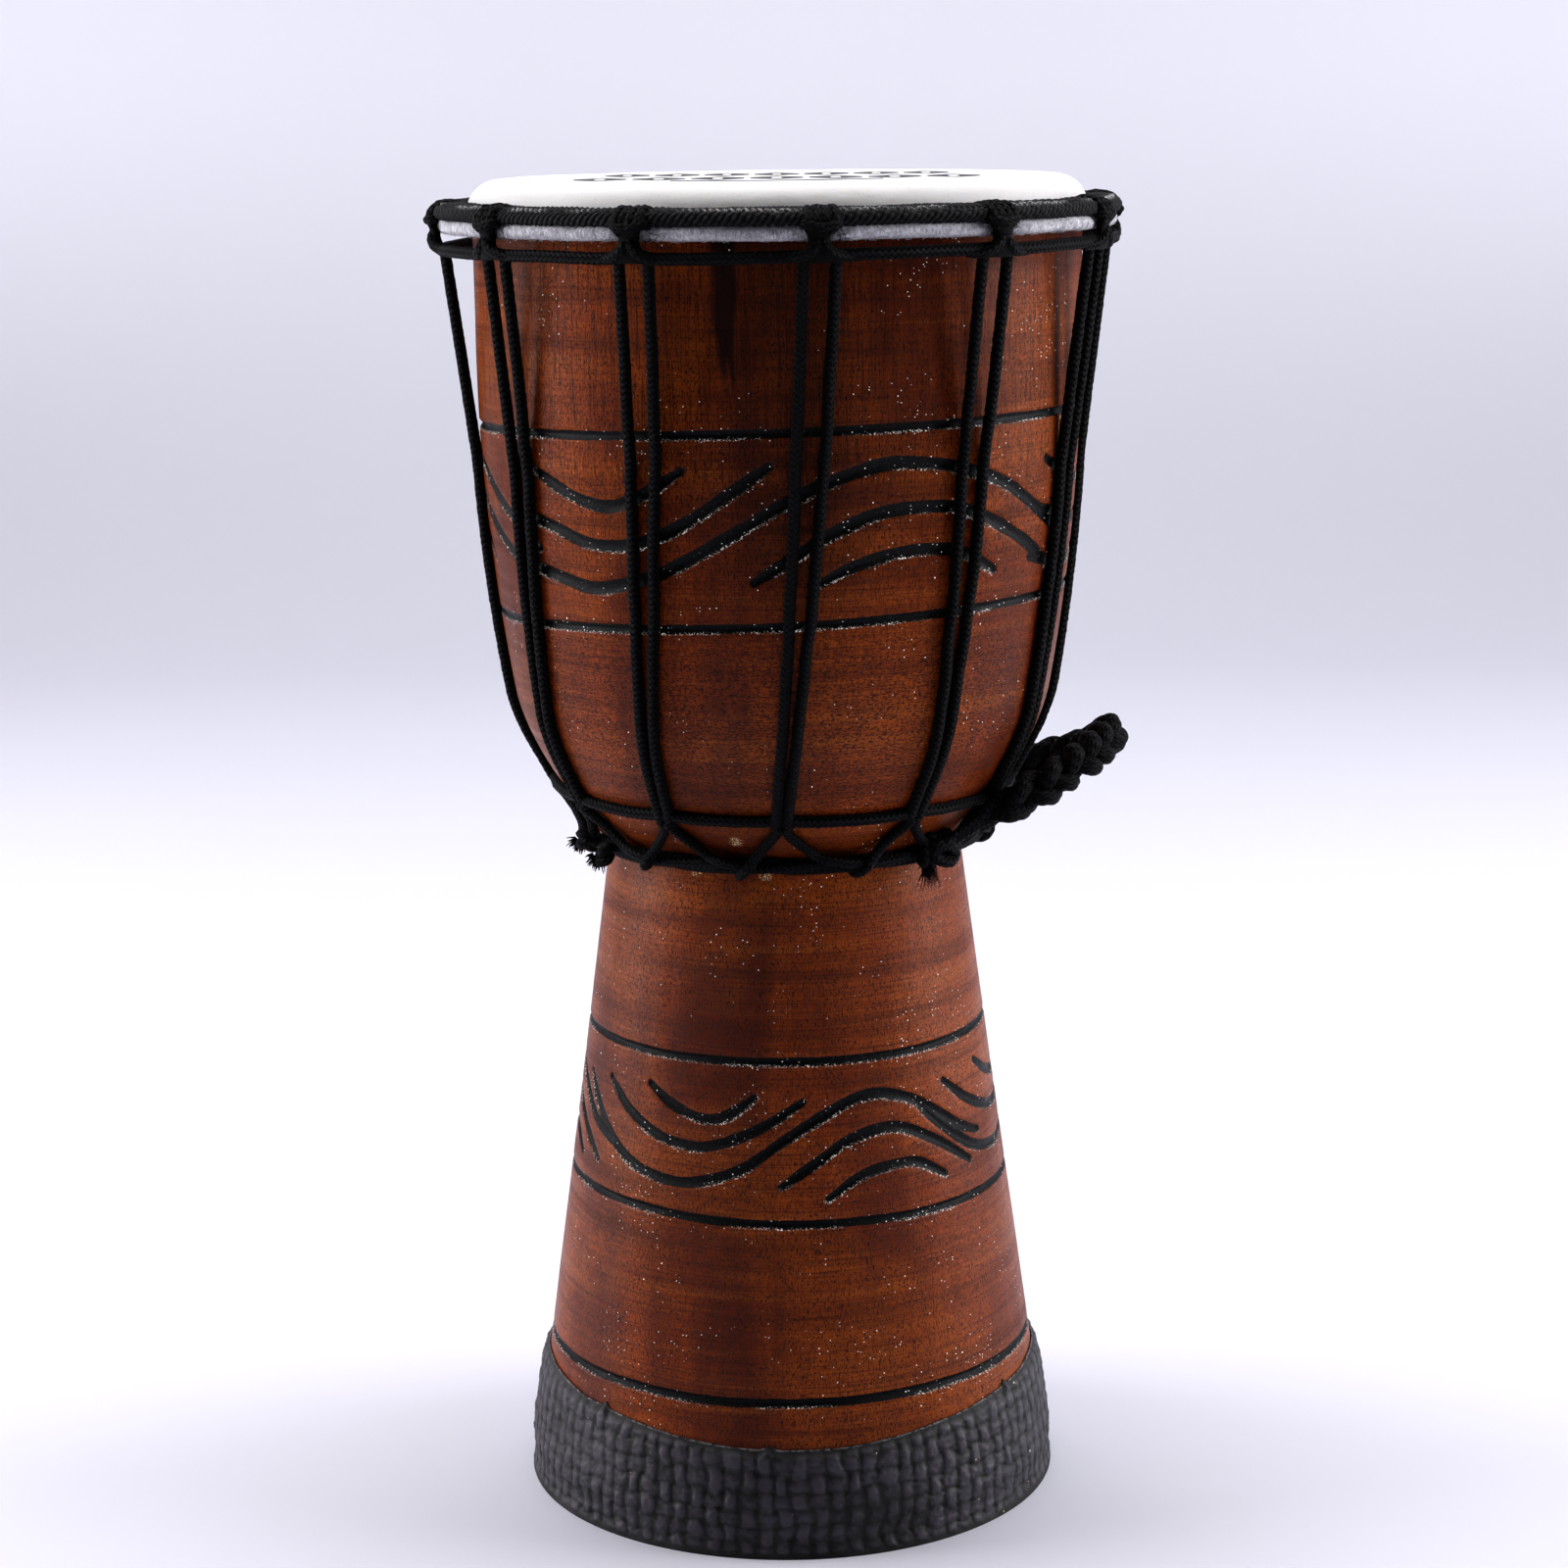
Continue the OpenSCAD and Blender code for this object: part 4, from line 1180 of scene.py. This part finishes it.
def handle_mid(t):
    """Middle of the plait, from the near knot (0) to the far one (1)."""
    a = (t - 0.5) * math.pi
    y = HALF * np.sin(a) * 0.92
    v = START_V + (REACH - START_V) * np.maximum(np.cos(a), 1e-4) ** 0.85
    # the far half hangs a little lower than the near half
    droop = 8.0 * smooth01((y + 14) / 40) * smooth01((v - START_V) / 18)
    z = 207.4 + v * math.sin(LIFT)
    return np.stack([AXIS_X + v * math.cos(LIFT), y, z - droop], -1)


def handle():
    """Three laid cords plaited round that line."""
    t = np.linspace(0.012, 0.988, 330)
    mid = handle_mid(t)
    d = np.gradient(mid, axis=0)
    d /= np.linalg.norm(d, axis=1)[:, None]
    up = np.array([-math.sin(LIFT), 0, math.cos(LIFT)])
    s = np.cross(d, up)
    s /= np.linalg.norm(s, axis=1)[:, None]
    gather = lerp(0.6, 1.0, smooth01(np.minimum(t, 1 - t) / 0.12))
    spread = (gather * (1 + 0.12 * value_noise(t * 14 + 5, 0, 77)))[:, None]
    turns, tall, wide = 5.0, 3.2, 2.6
    for i, name in enumerate("abc"):
        a = TAU * turns * t + i * TAU / 3 + 0.35 * value_noise(t * 9 + 9, i, 78)
        p = mid + spread * (tall * np.sin(a)[:, None] * up + wide * np.sin(2 * a)[:, None] * s)
        core = resample(p, 0.5)
        u = np.linspace(0, 1, len(core))
        thick = lerp(1.7, 2.65, smooth01(np.minimum(u, 1 - u) / 0.07))
        thick = thick * (1 + 0.05 * value_noise(u * 40 + 9, i, 79))
        pile = Pile()
        rope(pile, core, thick, pitch=17.0, depth=0.06, sides=30, fuzz=0.12, seed=i + 200, laid=True)
        o = pile.make("handle_plait_" + name, plait_mat)
        fit(o, "handle_strand_" + name, "handle")


def lashing(end, side):
    """Turns of cord round the waist ring, drawn tight into a knot."""
    a0 = 90 + side * math.degrees(math.asin(HALF / KNOT_R)) + side * 2.5
    pile = Pile()
    rng = np.random.default_rng(700 + side)
    for k in range(5):
        az = a0 + (k - 2) * 2.7
        q = np.radians(np.linspace(165, -40, 26))
        major = 4.4 + (0.8 if k in (1, 3) else 0.1)
        pts = at(az - side * 2.0 + 2.6 * (q / math.pi) + rng.uniform(-0.3, 0.3),
                 RING_R + major * np.cos(q), RING_Z + 0.6 + major * np.sin(q))
        rope(pile, resample(pts, 0.5), 1.6, sides=18, fuzz=0.2, seed=k + 90)
    shift = -3.0 * side
    knot = [(-6.5, 62.8, 205.4), (-3.4, 65.8, 207.6), (1.0, 66.6, 206.6), (4.3, 65.6, 203.6),
            (1.4, 66.2, 202.0), (-3.0, 66.0, 203.2), (-4.6, 65.4, 206.0), (-0.4, 67.0, 208.0),
            (4.2, 65.6, 207.4), (5.8, 63.8, 205.2)]
    knot = [(u + shift, r, z + 0.8) for u, r, z in knot]
    rope(pile, resample(catmull(local(a0, knot), 10), 0.5), 1.75, sides=18, fuzz=0.25, seed=97)
    o = pile.make(end + "_lashing_cord", cord)
    fit(o, "handle_lashing_" + end)
    link(end, local(a0, [(shift, 65.6, 208.0)])[0], handle_mid(np.array([0.5 + 0.47 * side]))[0])


def link(end, start, first):
    """Three cords from the knot to the first turn of the plait."""
    pile = Pile()
    for c in range(3):
        off = np.array([0.0, 0.0, 1.3 * (c - 1)])
        mid = (start + first) / 2 + np.array([1.2, 0.0, 1.0 + 0.8 * (c - 1)])
        line = resample(catmull([start + off * 0.5, mid, first + off], 10), 0.5)
        rope(pile, line, 1.5, sides=16, fuzz=0.15, seed=98 + c)
    o = pile.make(end + "_link_cord", cord)
    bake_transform(o)


def fibres(pile, root, out, length, count, spread, seed, thick=0.16, droop=0.3):
    """A frayed end: thin curved filaments."""
    rng = np.random.default_rng(seed)
    root, out = np.asarray(root, float), np.asarray(out, float)
    out = out / np.linalg.norm(out)
    side = np.cross(out, [0.3, 0.2, 0.9])
    side /= np.linalg.norm(side)
    other = np.cross(out, side)
    t = np.linspace(0, 1, 6)[:, None]
    for _ in range(count):
        a, b = rng.normal(size=2) * spread
        n = length * rng.uniform(0.45, 1.05)
        d0 = out + side * a + other * b
        bend = rng.normal(size=3) * 0.22 + np.array([0, 0, -droop])
        start = root + (side * a + other * b) * 2.2
        hair(pile, start + d0 * n * t + bend * n * t ** 2, thick * np.linspace(1.3, 0.5, len(t)))


def front_tail():
    """The frayed tail under the near knot."""
    pile = Pile()
    for k, (az, z) in enumerate(((40.8, 205.4), (41.6, 205.0), (42.6, 205.4))):
        root = at(np.array([az]), 62.4 + 0.3 * k, z)[0]
        fibres(pile, root, at(np.array([az - 14]), 0.25, -1.0)[0], 6.6, 46, 0.10, 800 + k)
    o = pile.make("front_tail_fibres", cord)
    fit(o, "handle_tail")


def lacing_ends():
    """The knotted, frayed ends of the lacing."""
    pile = Pile()
    for k, (az, z) in enumerate(((-57, 203.9), (-69, 206.0))):
        q = np.linspace(0, TAU * 1.35, 26)
        ball = at(az + 2.0 * np.sin(q), 64.0 + 1.6 * np.cos(q), z + 2.1 * np.sin(q * 0.74 + k))
        rope(pile, resample(ball, 0.5), 1.55, sides=18, fuzz=0.2, seed=k + 30)
        tip = at(np.array([az - 2.5]), 65.0, z - 1.5)[0]
        fibres(pile, tip, at(np.array([az - 8.0]), 0.8, -0.7)[0], 2.3, 110, 0.34, 820 + k, 0.22)
    o = pile.make("lacing_end_cord", cord)
    fit(o, "lacing_end_knot")


handle()
lashing("front", -1)
lashing("rear", 1)
front_tail()
lacing_ends()


# ------------------------------------------------------------------ rubber foot band
# Outside of the band: height and radius of its plain surface
RUBBER_OUT = np.array([(0.0, 77.5), (1.2, 79.2), (3.0, 80.3), (6.0, 81.2), (9.0, 81.8),
                       (13.0, 81.75), (17.0, 81.35), (22.0, 80.6), (30.0, 79.5), (36.0, 78.3),
                       (41.0, 77.0)])


# Nicks in the upper edge: direction in degrees, half width in degrees, height
NICKS = [(-47, 0.8, 1.5), (-5.0, 1.3, 1.0), (58, 0.7, 1.6), (117, 1.4, 1.8), (-128, 1.1, 2.0),
         (168, 1.8, 1.4)]
WEAVE_R, WEAVE_PITCH = 81.0, 5.3


def rubber_weave(A, Z):
    """Height, 0 to 1, of a moulded plain weave: narrow upright strips over wide level ones."""
    s = A * WEAVE_R
    cells = 2 * round(TAU * WEAVE_R / WEAVE_PITCH / 2)
    u = A / TAU * cells + 0.24 * value_noise(s / 8 + 90, Z / 6, 92)
    v = Z / WEAVE_PITCH + 0.24 * value_noise(s / 8 + 190, Z / 6, 93) + 0.2
    iu, iv = np.floor(u), np.floor(v)
    fu, fv = u - iu - 0.5, v - iv - 0.5
    slim = 1.30 + 0.22 * value_noise(iu * 1.37 + 60, iv * 1.71 + 60, 95)
    across_u = np.clip(np.cos(np.pi * np.clip(fu * slim, -0.5, 0.5)), 0, 1) ** 0.28
    across_v = np.clip(np.cos(np.pi * np.clip(fv * 1.15, -0.5, 0.5)), 0, 1) ** 0.32
    lift_u = 0.5 - 0.5 * np.cos(np.pi * (v - 0.5 + iu))
    lift_v = 0.5 + 0.5 * np.cos(np.pi * (u - 0.5 + iv))
    h = np.maximum(across_u * (0.18 + 0.82 * lift_u), across_v * (0.10 + 0.66 * lift_v))
    h = h + 0.16 * value_noise(s / 1.1 + 900, Z + 60, 96)
    return h * (1 - 0.30 * smooth01(value_noise(s / 13 + 600, Z / 8 + 30, 97)))


def foot_band():
    """The rubber band, higher at the sides than in front, and its lip under the foot."""
    rows, cols = 96, 900
    az = circle(cols)
    A, W = np.meshgrid(az, np.linspace(0, 1, rows))
    top = 32.0 + 7.8 * np.sin(A) ** 2 + 0.45 * value_noise(A * 5 + 20, 0, 91)
    nick = np.zeros_like(A)
    for a, wide, tall in NICKS:
        nick = np.maximum(nick, tall * np.exp(-((np.degrees(A) - a) / wide) ** 2))
    top = top + nick
    Z = W * top
    # towards its upper edge the band thins down onto the wood
    R = np.maximum(np.interp(Z, RUBBER_OUT[:, 0], RUBBER_OUT[:, 1]), wood_r(Z) + 0.75)
    R = lerp(wood_r(Z) + 0.55, R, smooth01((top - Z) / 2.2))
    h = rubber_weave(A, Z)
    fade = smooth01((Z - 0.6) / 2.0) * smooth01((top - Z) / 1.4)
    worn = 0.86 + 0.30 * value_noise(A * WEAVE_R / 16 + 70, Z / 9 + 9, 94)
    R = R + (h - 0.62) * fade * worn
    # over the edge, down the wood, and the lip turned in under the foot
    rings = [around(az, R[-1] + dr, Z[-1] + dz) for dr, dz in ((-0.2, 0.25), (-0.42, 0.15))]
    for q in (0.97, 0.8, 0.4, 0.08):
        z = top[0] * q
        rings.append(around(az, wood_r(z) + 0.08, z))
    for r, z in ((80.0, 2.1), (74.0, 2.1), (73.6, 0.6), (74.4, 0.0), (R[0].mean() - 1.2, 0.0)):
        rings.append(around(az, r, z))
    V = np.concatenate([around(A, R, Z), np.stack(rings)]).reshape(-1, 3)
    n = rows + len(rings)
    lip = np.zeros((n, cols))
    lip[rows - 1: rows + 1] = smooth01((1.0 - nick[0]) / 0.6)
    high = np.zeros((n, cols))
    high[:rows] = np.clip(h, 0, 1) * fade
    o = build("rubber_band", V, grid_faces(n, cols, True, True)[:, ::-1], rubber,
              {"high": high, "lip": lip})
    fit(o, "foot_rubber")


foot_band()

# the three hoops are shown as designed
for hoop in ("flesh_ring", "crown_ring", "waist_ring"):
    frame["nodes"][hoop].data.materials.clear()
    frame["nodes"][hoop].data.materials.append(steel)


# ------------------------------------------------------------------ stage, light, camera
def stage():
    """Pale sweep: floor and back wall in one curved sheet."""
    m = Mat("sweep", Roughness=0.6)
    m.set("Base Color", m.mix(m.noise(m.pos, 2.0, 2), rgb(0.67, 0.665, 0.735),
                              rgb(0.69, 0.685, 0.755)))
    m.set("Emission Color", rgb(0.80, 0.79, 0.90))
    sides = m.step(m.op("ABSOLUTE", m.axis(m.pos, 0)), 0.15, 1.1)
    level = m.lerp(sides, 0.24, 0.40)
    m.set("Emission Strength", m.mul(m.step(m.axis(m.pos, 2), 0.0, 0.50), level))
    m.set("Specular IOR Level", 0.2)
    near_y, bend_y, bend_r, half_wide, tall = -3500, 1500, 900, 6000, 5000
    prof = [(near_y, 0), (bend_y, 0)]
    prof += [(bend_y + bend_r * math.sin(a), bend_r - bend_r * math.cos(a))
             for a in np.linspace(0.1, 1.57, 16)]
    prof += [(bend_y + bend_r, tall)]
    verts = [(x, y, z) for y, z in prof for x in (-half_wide, half_wide)]
    build("sweep", verts, grid_faces(len(prof), 2, False), m.m)


def area(name, loc, target, size, power, colour=(1, 1, 1), size_y=None):
    """A soft rectangular lamp at loc that faces target."""
    light = bpy.data.lights.new(name, "AREA")
    light.shape = "RECTANGLE"
    light.size, light.size_y = size, size_y or size
    light.energy, light.color = power, colour
    o = bpy.data.objects.new(name, light)
    bpy.context.scene.collection.objects.link(o)
    o.location = loc
    o.rotation_mode = "QUATERNION"
    o.rotation_quaternion = (Vector(target) - Vector(loc)).to_track_quat("-Z", "Y")


# Where the studio starts and stops getting brighter, front to back, and how bright it is there
WORLD_FROM, WORLD_TO, WORLD_DIM, WORLD_BRIGHT = -0.40, 0.60, 0.018, 0.92


def world():
    """Bright behind and to the sides, dim behind the camera."""
    w = bpy.data.worlds.new("studio")
    w.use_nodes = True
    t = w.node_tree
    bg = t.nodes["Background"]
    coord = t.nodes.new("ShaderNodeTexCoord")
    sep = t.nodes.new("ShaderNodeSeparateXYZ")
    ramp = t.nodes.new("ShaderNodeMapRange")
    ramp.interpolation_type = "SMOOTHSTEP"
    for key, v in (("From Min", WORLD_FROM), ("From Max", WORLD_TO), ("To Min", WORLD_DIM),
                   ("To Max", WORLD_BRIGHT)):
        ramp.inputs[key].default_value = v
    t.links.new(coord.outputs["Generated"], sep.inputs[0])
    t.links.new(sep.outputs[1], ramp.inputs["Value"])
    t.links.new(ramp.outputs[0], bg.inputs[1])
    bg.inputs[0].default_value = rgb(0.83, 0.82, 0.92)
    bpy.context.scene.world = w


def camera():
    """Just above the head, looking down at the drum, and not quite level."""
    distance, height, focal, sensor = 1.008, 0.424, 77.0, 36.0
    pitch, roll = math.radians(11.58), math.radians(-0.69)
    data = bpy.data.cameras.new("camera")
    data.lens, data.sensor_width = focal, sensor
    cam = bpy.data.objects.new("camera", data)
    bpy.context.scene.collection.objects.link(cam)
    look = Vector((0, math.cos(pitch), -math.sin(pitch)))
    right = Vector((1, 0, 0))
    up = right.cross(look)
    side = right * math.cos(roll) + up * math.sin(roll)
    top = up * math.cos(roll) - right * math.sin(roll)
    cam.matrix_world = Matrix(((side.x, top.x, -look.x, 0), (side.y, top.y, -look.y, -distance),
                               (side.z, top.z, -look.z, height), (0, 0, 0, 1)))
    bpy.context.scene.camera = cam


stage()
world()
area("soft_left", (-1.7, 0.15, 0.75), (0, 0, 0.22), 1.1, 29, (1.0, 0.99, 1.0), 1.5)
area("soft_right", (1.7, 0.10, 0.75), (0, 0, 0.22), 1.1, 30, (0.99, 0.99, 1.0), 1.5)
area("soft_top", (0, 0.35, 2.1), (0, 0.05, 0.3), 1.5, 28)
area("soft_front", (-0.3, -2.2, 1.7), (0, 0, 0.2), 0.8, 1.5)

camera()
bpy.context.scene.view_settings.view_transform = "Standard"
bpy.context.scene.view_settings.look = "Medium High Contrast"
